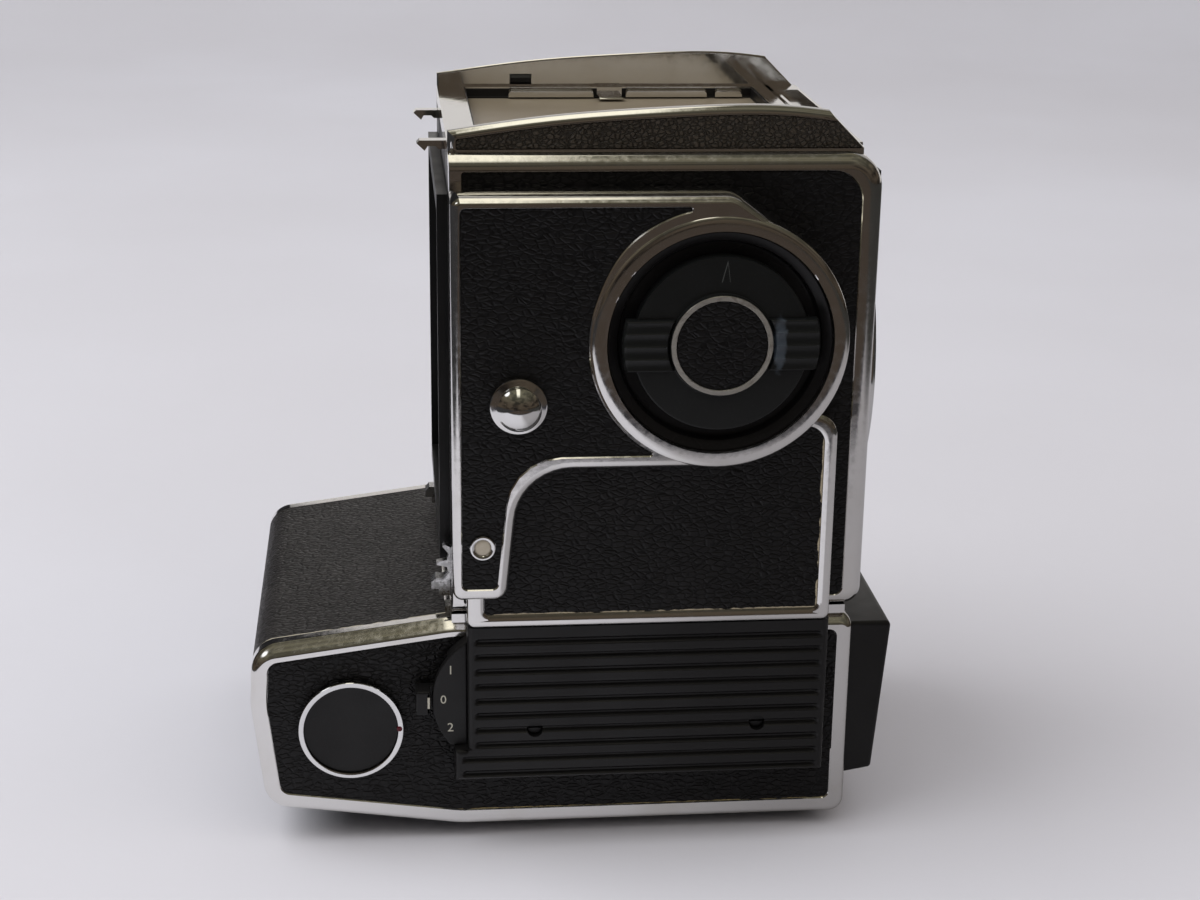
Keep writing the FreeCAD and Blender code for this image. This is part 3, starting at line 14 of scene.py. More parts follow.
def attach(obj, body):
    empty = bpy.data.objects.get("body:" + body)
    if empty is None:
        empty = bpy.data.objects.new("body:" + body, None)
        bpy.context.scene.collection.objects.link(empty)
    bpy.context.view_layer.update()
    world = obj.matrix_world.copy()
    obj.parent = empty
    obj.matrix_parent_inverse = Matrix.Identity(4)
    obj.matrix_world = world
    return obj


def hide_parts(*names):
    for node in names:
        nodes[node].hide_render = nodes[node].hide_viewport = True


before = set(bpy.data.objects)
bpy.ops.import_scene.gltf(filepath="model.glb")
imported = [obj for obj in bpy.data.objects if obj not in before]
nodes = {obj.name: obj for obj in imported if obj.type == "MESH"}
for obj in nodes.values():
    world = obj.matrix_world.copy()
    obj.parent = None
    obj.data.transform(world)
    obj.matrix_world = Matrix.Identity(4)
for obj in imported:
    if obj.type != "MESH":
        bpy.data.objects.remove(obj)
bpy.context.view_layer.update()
print("nodes loaded:", len(nodes))

# %% [markdown]
# The photograph's view. A camera's place can be guessed by eye, but edges that run along the body's
# three directions meet in vanishing points, and these give its focal length and tilt by calculation.
# The numbers below are what that fit gave, in millimetres and degrees.

# %% The camera
MM = 0.001
IMAGE_WIDTH = 1200
FOCAL_PIXELS = 2142.7
SENSOR_WIDTH = 36.0
yaw, pitch, roll = (math.radians(angle) for angle in (5.93, 18.42, 0.84))
forward = Vector((math.sin(yaw) * math.cos(pitch), math.cos(yaw) * math.cos(pitch), -math.sin(pitch)))
level_right = Vector((math.cos(yaw), -math.sin(yaw), 0))
level_up = level_right.cross(forward)
right = math.cos(roll) * level_right + math.sin(roll) * level_up
up = -math.sin(roll) * level_right + math.cos(roll) * level_up


def in_scene(name, data):
    """A new object in the scene that holds the data."""
    thing = bpy.data.objects.new(name, data)
    bpy.context.scene.collection.objects.link(thing)
    return thing


camera = in_scene("view_of_the_photograph", bpy.data.cameras.new("view_of_the_photograph"))
camera.data.sensor_width = SENSOR_WIDTH
camera.data.lens = FOCAL_PIXELS * SENSOR_WIDTH / IMAGE_WIDTH
camera.data.clip_start = 0.01
camera.matrix_world = Matrix((right, up, -forward)).transposed().to_4x4()
camera.location = Vector((-46.94, -383.43, 190.26)) * MM
bpy.context.scene.camera = camera
bpy.context.scene.view_settings.view_transform = "Standard"
print("lens", round(camera.data.lens, 1), "mm")

# %% [markdown]
# Helpers for materials. Nodes can be placed by hand in the editor; written as code, each finish
# becomes a short recipe. All patterns read Object coordinates, so they keep their real size. A world has a
# node tree as well, so the same helpers build the room's light at the end.

# %% Node helpers


def shader_of(material):
    """The shader node that a new material comes with."""
    return material.node_tree.nodes["Principled BSDF"]


def finish_of(name, colour, roughness, metallic=0.0, gloss=0.5):
    """A new material whose shader starts from plain values."""
    material = bpy.data.materials.new(name)
    material.use_nodes = True
    values = {"Base Color": (*colour, 1), "Roughness": roughness, "Metallic": metallic,
              "Specular IOR Level": gloss}
    for socket, value in values.items():
        shader_of(material).inputs[socket].default_value = value
    return material


def add(material, kind, links=None, **values):
    """A node with its values set, fed by {input: output socket}."""
    node = material.node_tree.nodes.new(kind)
    for key, value in values.items():
        setattr(node, key, value)
    for key, source in (links or {}).items():
        if isinstance(source, bpy.types.NodeSocket):
            material.node_tree.links.new(source, node.inputs[key])
        else:
            node.inputs[key].default_value = source
    return node


def place_of(material):
    """Object coordinates, in metres."""
    return add(material, "ShaderNodeTexCoord").outputs["Object"]


def noise(material, cells_per_metre, detail=3.0, place=None):
    """Soft noise from 0 to 1."""
    links = {"Vector": place or place_of(material), "Scale": cells_per_metre, "Detail": detail}
    return add(material, "ShaderNodeTexNoise", links).outputs["Fac"]


def ramp(material, source, low, high, low_value=0.0, high_value=1.0):
    """A value carried smoothly from one range to another, 0 to 1 if not told otherwise."""
    links = {"Value": source, "From Min": low, "From Max": high, "To Min": low_value, "To Max": high_value}
    return add(material, "ShaderNodeMapRange", links, interpolation_type="SMOOTHSTEP").outputs["Result"]


def blend_colours(material, share, first, second):
    """Two colours mixed by a share between 0 and 1."""
    links = {0: share, 6: (*first, 1) if isinstance(first, tuple) else first,
             7: (*second, 1) if isinstance(second, tuple) else second}
    return add(material, "ShaderNodeMix", links, data_type="RGBA").outputs[2]


def times(material, first, second):
    """Product of two values."""
    return add(material, "ShaderNodeMath", {0: first, 1: second}, operation="MULTIPLY").outputs[0]


def painted_colour(material):
    """The socket that feeds the shader's colour now."""
    return shader_of(material).inputs["Base Color"].links[0].from_socket


def stretched(material, place, factors):
    """Coordinates multiplied axis by axis."""
    return add(material, "ShaderNodeVectorMath", {0: place, 1: factors}, operation="MULTIPLY").outputs[0]


def distance_to(material, place, centre):
    """How far a place is from a centre."""
    return add(material, "ShaderNodeVectorMath", {0: place, 1: centre}, operation="DISTANCE").outputs["Value"]


def feed(material, socket, source):
    """A source linked to one of the shader's sockets."""
    material.node_tree.links.new(source, shader_of(material).inputs[socket])


def relief(material, height, depth, strength=1.0):
    """Bump from a height of 0 to 1, depth metres deep."""
    links = {"Height": height, "Distance": depth, "Strength": strength}
    feed(material, "Normal", add(material, "ShaderNodeBump", links).outputs["Normal"])


print("helpers ready")

# %% [markdown]
# Bright metal. The castings are polished aluminium and the rims are chromed: a mirror-like surface that
# lives from what it reflects. Plain grey would look like paint, so the shader is fully metallic, and
# handling marks come from a fine noise in its roughness and faint tarnish in its colour.

# %% Bright finishes


def bright_metal(name, colour, tarnish, roughness, grain):
    """Metal with cloudy tarnish and fine scratches."""
    metal = finish_of(name, colour, roughness, 1.0)
    cloud = ramp(metal, noise(metal, 90, 4), 0.5, 0.75)
    feed(metal, "Base Color", blend_colours(metal, cloud, colour, tarnish))
    fine = noise(metal, grain, 5)
    feed(metal, "Roughness", ramp(metal, fine, 0.3, 0.75, roughness * 0.7, roughness * 1.8))
    relief(metal, fine, 0.000006)
    return metal


polished_casting = bright_metal("polished_casting", (0.74, 0.73, 0.715), (0.69, 0.675, 0.645), 0.10, 900)
chrome = bright_metal("chrome", (0.76, 0.76, 0.755), (0.72, 0.71, 0.69), 0.07, 700)
steel = bright_metal("steel", (0.56, 0.56, 0.56), (0.42, 0.38, 0.33), 0.28, 1500)
brass = bright_metal("brass", (0.72, 0.53, 0.24), (0.50, 0.34, 0.14), 0.26, 1200)
motor_steel = bright_metal("motor_steel", (0.50, 0.50, 0.49), (0.40, 0.38, 0.35), 0.38, 600)
satin_ring = bright_metal("satin_ring", (0.60, 0.58, 0.53), (0.50, 0.47, 0.40), 0.42, 1600)
cell_sleeve = bright_metal("cell_sleeve", (0.36, 0.37, 0.40), (0.30, 0.30, 0.31), 0.34, 400)
print("bright finishes: casting, chrome, two steels, brass, satin ring, cell sleeve")

# %% [markdown]
# Leather covering. It is thin pressed leather with a fine pebble grain, about 0.8 mm per pebble, and a
# little gloss on the crests. A photo texture would need stretching round corners; Voronoi cells at real
# scale with soft noise in them give the same pebbles on every side.

# %% Leather


def pebbled(name, colour, dusty, cells, depth, roughness, gloss=0.25, stretch=(0.55, 1, 1)):
    """Leather whose pebbles are Voronoi cells, longer along the body, with painted shade that darkens the
    creases between them.
    """
    hide = finish_of(name, colour, roughness, gloss=gloss)
    place = stretched(hide, place_of(hide), stretch)
    warp = add(hide, "ShaderNodeTexNoise", {"Vector": place, "Scale": cells * 0.6, "Detail": 2.0})
    shift = add(hide, "ShaderNodeVectorMath", {0: warp.outputs["Color"], 3: 0.7 / cells}, operation="SCALE")
    moved = add(hide, "ShaderNodeVectorMath", {0: place, 1: shift.outputs[0]}, operation="ADD").outputs[0]
    cell = add(hide, "ShaderNodeTexVoronoi", {"Vector": moved, "Scale": cells}, feature="DISTANCE_TO_EDGE")
    crest = ramp(hide, cell.outputs["Distance"], 0.0, 0.22)
    wear = ramp(hide, noise(hide, 60, 4), 0.45, 0.75)
    # Painted shade: the creases between pebbles are darkened to 0.45 of the leather's colour.
    painted_crease_shade = tuple(channel * 0.45 for channel in colour)
    feed(hide, "Base Color", blend_colours(hide, crest, painted_crease_shade, blend_colours(hide, wear, colour, dusty)))
    fine = noise(hide, cells * 1.7, 3)
    feed(hide, "Roughness", ramp(hide, fine, 0.3, 0.7, roughness * 0.8, roughness * 1.25))
    relief(hide, crest, depth)
    return hide


def chipped(hide, lines, chip):
    """Pale chips near straight edges: each line gives an axis, the edge's place and how far the wear reaches.
    A chip shows where closeness to the edge times a coarse noise is high."""
    spot = add(hide, "ShaderNodeSeparateXYZ", {0: place_of(hide)})
    patchy = noise(hide, 420, 6)
    covered = painted_colour(hide)
    for axis, edge, reach in lines:
        near = ramp(hide, spot.outputs[axis], (edge + reach) * MM, edge * MM)
        covered = blend_colours(hide, ramp(hide, times(hide, near, patchy), 0.36, 0.44), covered, chip)
    feed(hide, "Base Color", covered)
    return hide


BLACK_HIDE, DUSTY_HIDE = (0.0052, 0.0047, 0.0049), (0.0085, 0.0076, 0.0077)
fine_leather = pebbled("fine_leather", BLACK_HIDE, DUSTY_HIDE, 1150, 0.00011, 0.42)
housing_leather = chipped(pebbled("housing_leather", BLACK_HIDE, DUSTY_HIDE, 1150, 0.00014, 0.42),
                          [("Z", 46.1, 0.75), ("X", 27.1, -0.9)], (0.42, 0.36, 0.25))
base_leather = chipped(pebbled("base_leather", BLACK_HIDE, DUSTY_HIDE, 1150, 0.00014, 0.42),
                       [("Z", 5.85, 0.5)], (0.40, 0.31, 0.13))
# Painted light: the tail's leather is several times lighter than the other leathers, standing in for the
# sheen its top catches from above and behind.
tail_leather = pebbled("tail_leather", (0.020, 0.018, 0.018), (0.035, 0.032, 0.031), 1000, 0.00012, 0.5, 0.4)
chipped(tail_leather, [("Y", -31.55, 1.1)], (0.44, 0.40, 0.31))
strip_leather = pebbled("strip_leather", (0.048, 0.038, 0.027), (0.072, 0.057, 0.041), 1350, 0.00036, 0.42,
                        0.5, (0.8, 1, 1))
print("leathers: fine, housing, base, tail and strip")

# %% [markdown]
# Black parts. Painted castings, anodised dials and moulded plastic differ only by their sheen and by how
# fine their texture is, so one recipe with a grain size serves them all.

# %% Black finishes


def fine_grained(name, colour, roughness, grain, depth, gloss=0.3):
    """Painted or moulded finish with a fine even texture and slightly uneven sheen."""
    black = finish_of(name, colour, roughness, gloss=gloss)
    fine = noise(black, grain, 4)
    cloud = noise(black, 70, 3)
    feed(black, "Roughness", ramp(black, cloud, 0.3, 0.7, roughness * 0.8, roughness * 1.2))
    paler = tuple(channel * 1.7 for channel in colour)
    feed(black, "Base Color", blend_colours(black, ramp(black, fine, 0.55, 0.8), colour, paler))
    relief(black, fine, depth)
    return black


satin_paint = fine_grained("satin_paint", (0.0065, 0.0062, 0.0062), 0.40, 2600, 0.00002)
well_black = fine_grained("well_black", (0.007, 0.0065, 0.0065), 0.32, 1800, 0.00001, 0.2)
index_grey = fine_grained("index_grey", (0.06, 0.063, 0.06), 0.5, 3500, 0.00001)
flock_black = fine_grained("flock_black", (0.005, 0.005, 0.005), 0.85, 4000, 0.00003)
moulded_black = fine_grained("moulded_black", (0.012, 0.012, 0.013), 0.48, 2200, 0.00002)
block_paint = fine_grained("block_paint", (0.0045, 0.0042, 0.0041), 0.42, 2600, 0.00002, 0.33)
mark_paint = fine_grained("mark_paint", (0.52, 0.50, 0.42), 0.55, 3000, 0.00001)
dark_red = fine_grained("dark_red", (0.085, 0.004, 0.010), 0.35, 3000, 0.00001)


def worn_at(black, centre, spread, size, bare):
    """A rubbed patch: bare colour where stretched distance from its centre plus coarse noise is small."""
    place = stretched(black, place_of(black), spread)
    middle = tuple(value * factor * MM for value, factor in zip(centre, spread))
    away = distance_to(black, place, middle)
    rough_edge = add(black, "ShaderNodeMath", {0: noise(black, 700, 5), 1: 0.0012, 2: away},
                     operation="MULTIPLY_ADD").outputs[0]
    rubbed = ramp(black, rough_edge, (size - 0.1) * MM, (size + 0.5) * MM, 1.0, 0.0)
    feed(black, "Base Color", blend_colours(black, rubbed, painted_colour(black), bare))
    return black


worn_dial = worn_at(fine_grained("worn_dial", (0.0075, 0.0082, 0.0080), 0.34, 3500, 0.000012),
                    (18.0, -44.8, 94.8), (1, 0.2, 0.22), 1.4, (0.045, 0.055, 0.066))
print("black finishes: paint, well, flock, moulding, block, worn dial; marks in grey, pale and red")

# %% [markdown]
# Glass parts: the silvered mirror, the ground focusing screen and the small window of the signal. A
# see-through shader would also do, but behind screen and window lies only a dark box, so an opaque
# finish in the tone that shows through them looks the same and renders without noise.

# %% Glass and mirror
mirror_silver = bright_metal("mirror_silver", (0.90, 0.91, 0.92), (0.88, 0.88, 0.88), 0.02, 500)
ground_glass = finish_of("ground_glass", (0.20, 0.165, 0.115), 0.32)
ground_fine = noise(ground_glass, 5000, 2)
feed(ground_glass, "Base Color",
     blend_colours(ground_glass, noise(ground_glass, 30, 3), (0.16, 0.13, 0.09), (0.25, 0.21, 0.15)))
relief(ground_glass, ground_fine, 0.000008)
window_glass = finish_of("window_glass", (0.30, 0.26, 0.19), 0.08)
feed(window_glass, "Base Color",
     blend_colours(window_glass, noise(window_glass, 900, 3), (0.38, 0.33, 0.25), (0.52, 0.47, 0.38)))
flag_paint = fine_grained("flag_paint", (0.35, 0.30, 0.22), 0.5, 1500, 0.00001)
print("glass finishes: mirror, ground screen, window and the flag behind it")

# %% [markdown]
# Nodes that are plain enough stay in sight as packed, each with the finish of its real counterpart. The
# others are replaced further down. Finishes could be handed out one by one; a table shows at a glance
# which parts share one.

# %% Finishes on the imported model
node_finishes = {
    polished_casting: ("tripod_plate", "accessory_rail"),
    chrome: ("lens_mount_ring", "lens_release_button", "remote_socket", "magazine_hooks"),
    steel: ("magazine_lugs", "lens_lock_pin", "lens_drive_key", "gear_plate", "housing_screws",
            "release_button", "magazine_gear"),
    brass: ("upper_gear", "middle_gear", "lower_gear", "winding_gear", "motor_pinion", "battery_contacts"),
    motor_steel: ("electric_motor",),
    cell_sleeve: ("battery_cells",),
    fine_leather: ("front_leather",),
    satin_paint: ("finder_catch", "rear_plate"),
    flock_black: ("mirror_box", "mirror_carrier", "upper_shutter_door", "lower_shutter_door"),
    moulded_black: ("battery_door",),
    mirror_silver: ("mirror_glass",),
    ground_glass: ("focusing_screen",),
    flag_paint: ("signal_flag",),
}
for finish, names in node_finishes.items():
    for name in names:
        mesh = nodes[name].data
        mesh.materials.clear()
        mesh.materials.append(finish)
print("nodes with a finish of their own:", sum(len(names) for names in node_finishes.values()))

# %% [markdown]
# Helpers for shapes. Most of this camera body is cast plates with rounded rims, so two surfaces do most of
# the work: a profile carried along an outline, and a profile turned about an axis. Both are computed as
# whole arrays. Box modelling with a bevel would also work, but its rim widths would be harder to hold.

# %% Outlines and carried profiles


def rounded_outline(corners, steps=10):
    """Closed outline in the XZ plane, anticlockwise as the camera sees it, from (x, z, radius) corners.
    A corner of radius r is an arc: centre = corner - side * mitre * r, point = centre + side * r * normal.
    Gives points and mitres; a point moved by -d times its mitre lies d inside the outline."""
    points, mitres = [], []
    count = len(corners)
    for i, (x, z, radius) in enumerate(corners):
        here = np.array([x, z], float)
        before = here - np.array(corners[i - 1][:2], float)
        after = np.array(corners[(i + 1) % count][:2], float) - here
        before /= np.linalg.norm(before)
        after /= np.linalg.norm(after)
        normal_in = np.array([before[1], -before[0]])
        normal_out = np.array([after[1], -after[0]])
        mitre = (normal_in + normal_out) / (1 + normal_in @ normal_out)
        if radius == 0:
            points.append(here[None])
            mitres.append(mitre[None])
            continue
        turn = math.atan2(before[0] * after[1] - before[1] * after[0], before @ after)
        side = math.copysign(1.0, turn)
        angle = math.atan2(normal_in[1], normal_in[0]) + np.linspace(0, turn, steps)
        normal = np.stack([np.cos(angle), np.sin(angle)], 1)
        points.append(here - side * mitre * radius + side * radius * normal)
        mitres.append(normal)
    return np.concatenate(points), np.concatenate(mitres)


def on_circle(centre, radius, degrees):
    """Points (x, z) = centre + radius (cos, sin); the radius may change with the angle."""
    angle = np.radians(degrees)
    return np.stack([centre[0] + radius * np.cos(angle), centre[1] + radius * np.sin(angle)], -1)


def sharp(points):
    """Corners without radius at a row of points."""
    return [(x, z, 0) for x, z in points.tolist()]


def rounded_rim(width, depth, face, steps=8, power=1.0):
    """Profile of a rim that rolls in: inset = width (1 - cos(t)^power), y = face + depth (1 - sin(t)^power).
    Power 1 is a quarter ellipse; a higher power flattens it towards a straight chamfer."""
    t = np.linspace(0, np.pi / 2, steps)
    return np.stack([width * (1 - np.cos(t) ** power), face + depth * (1 - np.sin(t) ** power)], 1)


def both_sides(rim):
    """A rim's profile on the near side, run across to the same rim on the far side."""
    return np.concatenate([rim[::-1], rim * (1, -1)])


def carried(outline, profile, upper=None):
    """Surface P(i, j) = outline point j moved inwards by profile inset i, at profile depth y i.
    An upper profile takes over by w = clip(z of the mitre, 0, 1), so edges that face up get their own form.
    The first and last loops are closed by flat faces."""
    points, mitres = outline
    profile = np.asarray(profile, float)
    share = np.clip(mitres[:, 1], 0, 1) if upper is not None else np.zeros(len(points))
    upper = profile if upper is None else np.asarray(upper, float)
    inset = profile[:, 0, None] * (1 - share) + upper[:, 0, None] * share
    depth = profile[:, 1, None] * (1 - share) + upper[:, 1, None] * share
    moved = points[None] - inset[..., None] * mitres[None]
    return closed_tube(np.stack([moved[..., 0], depth, moved[..., 1]], -1))


def turned(axis, centre, profile, steps=96, hollow=False):
    """Surface of revolution: P(i, j) = centre + radius i round the axis, at distance i along it.
    Profile rows are (distance, radius). A hollow one closes on its own first loop."""
    profile = np.asarray(profile, float)
    angle = np.linspace(0, 2 * np.pi, steps, endpoint=False)
    across, along = profile[:, 1, None], np.repeat(profile[:, 0, None], steps, 1)
    wide, high = across * np.cos(angle), across * np.sin(angle)
    order = {"x": (along, wide, high), "y": (wide, along, high), "z": (wide, high, along)}[axis]
    return closed_tube(np.stack(order, -1) + np.asarray(centre, float), hollow)


def grid_quads(index):
    """Quads between neighbours in a grid of vertex numbers."""
    return np.stack([index[:-1, :-1], index[:-1, 1:], index[1:, 1:], index[1:, :-1]], -1).reshape(-1, 4)


def closed_tube(grid, hollow=False):
    """Quads between loops, closed by a flat face over each end or, when hollow, by the first loop."""
    loops, count = grid.shape[:2]
    index = np.arange(loops * count).reshape(loops, count)
    ends = [] if hollow else [index[0][::-1].tolist(), index[-1].tolist()]
    if hollow:
        index = np.concatenate([index, index[:1]])
    return grid.reshape(-1, 3), grid_quads(np.concatenate([index, index[:, :1]], 1)).tolist() + ends


def block(low, high):
    """Cutter: a box between two corners."""
    (x0, y0, z0), (x1, y1, z1) = low, high
    corners = [(x0, z0, 0), (x1, z0, 0), (x1, z1, 0), (x0, z1, 0)]
    return carried(rounded_outline(corners), [(0, y0), (0, y1)])


def rod(axis, centre, start, end, radius, steps=32):
    """Straight cylinder along an axis: a pin, or the cutter of a hole."""
    return turned(axis, centre, [(start, radius), (end, radius)], steps)


def recess_in(outline, face, depth, way=-1):
    """Cutter of a recess with an eased lip, in a face on the near side (way -1) or the far side (1)."""
    return carried(outline, [(-0.4, face + 0.2 * way), (-0.2, face), (0, face - 0.2 * way),
                             (0, face - depth * way)])


print("shape helpers ready")

# %% Making and carving meshes
SMOOTH_BELOW, BEVEL_ABOVE = 32, 50
DOUBLES = 1e-7


def mesh_of(name, shells):
    """One mesh in metres from shells in millimetres, doubles merged and faces turned outwards."""
    vertices, faces, start = [], [], 0
    for points, polygons in shells:
        vertices.append(points)
        faces += [[corner + start for corner in polygon] for polygon in polygons]
        start += len(points)
    mesh = bpy.data.meshes.new(name)
    mesh.from_pydata((np.concatenate(vertices) * MM).tolist(), [], faces)
    shape = bmesh.new()
    shape.from_mesh(mesh)
    bmesh.ops.remove_doubles(shape, verts=shape.verts, dist=DOUBLES)
    bmesh.ops.dissolve_degenerate(shape, edges=shape.edges, dist=DOUBLES)
    bmesh.ops.recalc_face_normals(shape, faces=shape.faces)
    shape.to_mesh(mesh)
    shape.free()
    return mesh


def joined(name, meshes):
    """One mesh from several."""
    whole = bmesh.new()
    for mesh in meshes:
        whole.from_mesh(mesh)
    result = bpy.data.meshes.new(name)
    whole.to_mesh(result)
    whole.free()
    return result


def as_mesh(name, form):
    """One mesh from a mesh, or from a list of shells or of meshes."""
    if isinstance(form, bpy.types.Mesh):
        return form
    return joined(name, form) if isinstance(form[0], bpy.types.Mesh) else mesh_of(name, form)


def evaluated_mesh(thing):
    """The mesh that an object gives once its modifiers or its letters are worked out."""
    return bpy.data.meshes.new_from_object(thing.evaluated_get(bpy.context.evaluated_depsgraph_get()))


def carve(form, shells, operation="DIFFERENCE"):
    """The form with each shell cut from it, or joined to it, by an exact boolean."""
    body = in_scene("carved", as_mesh("carved", form))
    tools = []
    for shell in shells:
        tool = in_scene("cutter", as_mesh("cutter", [shell] if isinstance(shell, tuple) else shell))
        step = body.modifiers.new("step", "BOOLEAN")
        step.object, step.operation, step.solver = tool, operation, "EXACT"
        tools.append(tool)
    result = evaluated_mesh(body)
    for used in (body, *tools):
        bpy.data.objects.remove(used)
    return result


def show(name, form, finish, stands_for=(), body="camera", keep_flat=True, bevel=0.0):
    """A finished piece: smooth below SMOOTH_BELOW degrees, riding on its body, in place of its nodes."""
    mesh = as_mesh(name, form)
    mesh.materials.clear()
    mesh.materials.append(finish)
    mesh.shade_smooth()
    mesh.set_sharp_from_angle(angle=math.radians(SMOOTH_BELOW))
    piece = in_scene(name, mesh)
    if bevel:
        eased = piece.modifiers.new("eased edges", "BEVEL")
        eased.width, eased.segments, eased.limit_method = bevel * MM, 2, "ANGLE"
        eased.angle_limit = math.radians(BEVEL_ABOVE)
    if keep_flat:
        flat = piece.modifiers.new("flat faces stay flat", "WEIGHTED_NORMAL")
        flat.keep_sharp = True
    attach(piece, body)
    if stands_for:
        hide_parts(*stands_for)
    print(name, "faces:", len(mesh.polygons))


print("mesh helpers ready")

# %% [markdown]
# The side cover and its ring are one polished casting. Its rims roll over softly, which gives the bands of
# light in the photograph. The panel is a rim profile carried round the outline, the ring is turned, and
# booleans join them and sink the leather's recess, whose lip gets a small bevel that catches light.

# %% Side cover
SIDE = 36.0
COVER_FACE = -44.0
RING_FACE = -44.4
CAP = (8.3, 94.8)
AT_CAP = (CAP[0], 0, CAP[1])
RING_RADIUS = 21.9
BORE_RADIUS = 18.9
COVER_TOP, COVER_LOW, COVER_SWEEP = 120.0, 49.5, 72.95
REAR = -36.5
shoulder = math.atan2(COVER_TOP - CAP[1], 10.3 - CAP[0]) - math.acos(
    RING_RADIUS / math.hypot(10.3 - CAP[0], COVER_TOP - CAP[1]))
ring_part = sharp(on_circle(CAP, RING_RADIUS, np.linspace(-90, math.degrees(shoulder), 60)))
cover_outline = rounded_outline([(REAR, COVER_LOW, 1.7), (-27.2, COVER_LOW, 2.6), (-24.9, COVER_SWEEP, 9.6),
                                 *ring_part, (10.3, COVER_TOP, 5.0), (REAR, COVER_TOP, 1.7)])
panel = carried(cover_outline, [(0, -SIDE), *rounded_rim(1.6, 1.7, COVER_FACE, 12)],
                [(0, -SIDE), *rounded_rim(1.6, 5.2, COVER_FACE, 12)])
ring_rim = rounded_rim(2.6, 2.0, RING_FACE, 18, 0.55)
ring = turned("y", AT_CAP, [(-SIDE, RING_RADIUS), *[(y, RING_RADIUS - inset) for inset, y in ring_rim],
                            (RING_FACE, BORE_RADIUS - 1)])
LEATHER_TOP, LEATHER_LOW, LEATHER_STEP = 117.8, 51.8, 75.35
RING_LIP = RING_RADIUS + 0.15
tip = 180 + math.degrees(math.asin((CAP[1] - LEATHER_STEP) / RING_LIP))
sweep = np.linspace(tip - 6, 106, 48)
swell = np.clip((162 - sweep) / 36, 0, 1)
lip_radius = RING_LIP + 1.0 * swell * swell * (3 - 2 * swell)
leather_outline = rounded_outline([
    (REAR + 1.6, LEATHER_LOW, 0.9), (-28.9, LEATHER_LOW, 1.0), (-26.6, LEATHER_STEP, 9.4),
    (*on_circle(CAP, RING_LIP, tip), 0.3), *sharp(on_circle(CAP, lip_radius, sweep)), (2.85, 117.15, 0.22),
    (2.85, LEATHER_TOP, 0.25), (REAR + 1.6, LEATHER_TOP, 0.9)], 6)
AT_LUG, AT_SIGNAL = (-25.4, 0, 84.6), (-31.4, 0, 59.4)
recess = recess_in(leather_outline, COVER_FACE, 0.8)
bore = turned("y", AT_CAP, [(RING_FACE - 0.5, BORE_RADIUS + 0.5), (RING_FACE, BORE_RADIUS + 0.2),
                            (RING_FACE + 0.3, BORE_RADIUS), (-SIDE + 1, BORE_RADIUS)])
hollow = carried(cover_outline, [(1.6, COVER_FACE + 1.8), (1.6, -SIDE + 1)])
gear_window = block((-7.7, -40.2, 70.15), (16.3, -SIDE + 1, 82.8))
window = rod("y", AT_SIGNAL, COVER_FACE - 1, -SIDE + 1, 1.4)
cover = carve([panel], [ring], "UNION")
cover = carve(cover, [recess, bore, hollow, gear_window, window])
show("cover_casting", cover, polished_casting, ["side_cover"])

# %% Leather of the cover
pad = carried(leather_outline, [(0.04, COVER_FACE + 0.8), (0.04, COVER_FACE + 0.3), (0.14, COVER_FACE + 0.2)])
bezel_seat = rod("y", AT_SIGNAL, COVER_FACE - 1, COVER_FACE + 2, 2.25, 48)
show("cover_leather", carve([pad], [bezel_seat]), fine_leather, ["side_cover_leather"])

# %% [markdown]
# The winding cap sits in a dark well. Its dial, hub ring and inlaid disc are turned shapes; its two ribbed
# wings are height fields: y is a function of x and z, with four flutes between sharp crests and edges that
# fall away. A carried profile could make straight flutes, but not ends that follow the hub's circle.

# %% Well, dial and hub
DIAL_FACE = -44.4
well = turned("y", AT_CAP, [(RING_FACE + 1.0, 18.85), (RING_FACE + 1.0, 18.6), (-42.6, 17.3), (-41.2, 16.9),
                            (-40.95, 16.5), (-40.9, 3.1), (-40.2, 3.1), (-40.2, 18.85)], hollow=True)
show("cap_well_cone", [well], well_black, ["cap_well"])

dial = turned("y", AT_CAP, [(-41.8, 14.9), (DIAL_FACE + 0.35, 14.9), (DIAL_FACE + 0.1, 14.8),
                            (DIAL_FACE, 14.55), (DIAL_FACE, 9.0), (DIAL_FACE - 0.1, 8.8),
                            (DIAL_FACE - 0.85, 8.7), (DIAL_FACE - 0.95, 8.62), (DIAL_FACE - 0.95, 8.55),
                            (DIAL_FACE - 0.2, 8.55)])
hub_ring = turned("y", AT_CAP, [(DIAL_FACE - 0.2, 8.53), (DIAL_FACE - 1.02, 8.53), (DIAL_FACE - 1.1, 8.46),
                                (DIAL_FACE - 1.1, 7.72), (DIAL_FACE - 1.02, 7.66), (DIAL_FACE - 0.2, 7.66)],
                  hollow=True)
inlay = turned("y", AT_CAP, [(DIAL_FACE - 0.2, 7.64), (DIAL_FACE - 0.82, 7.64), (DIAL_FACE - 0.92, 7.5)])


def raised_block(x, z, front, back):
    """Solid between two height fields: front y(x, z) towards the camera, and a flat back."""
    rows, columns = x.shape
    index = np.arange(rows * columns).reshape(rows, columns)
    top = grid_quads(index)
    edge = np.concatenate([index[0, :-1], index[:-1, -1], index[-1, :0:-1], index[:0:-1, 0]])
    after = np.roll(edge, -1)
    size = rows * columns
    walls = np.stack([edge, after, after + size, edge + size], -1)
    points = np.concatenate([np.stack([x, front, z], -1).reshape(-1, 3),
                             np.stack([x, np.full_like(x, back), z], -1).reshape(-1, 3)])
    return points, np.concatenate([top, top[:, ::-1] + size, walls]).tolist()


WING_IN, WING_OUT, WING_HALF, WING_HEIGHT = 8.9, 16.6, 4.4, 0.95
FLUTES, FLUTE_DEPTH = 4, 0.34


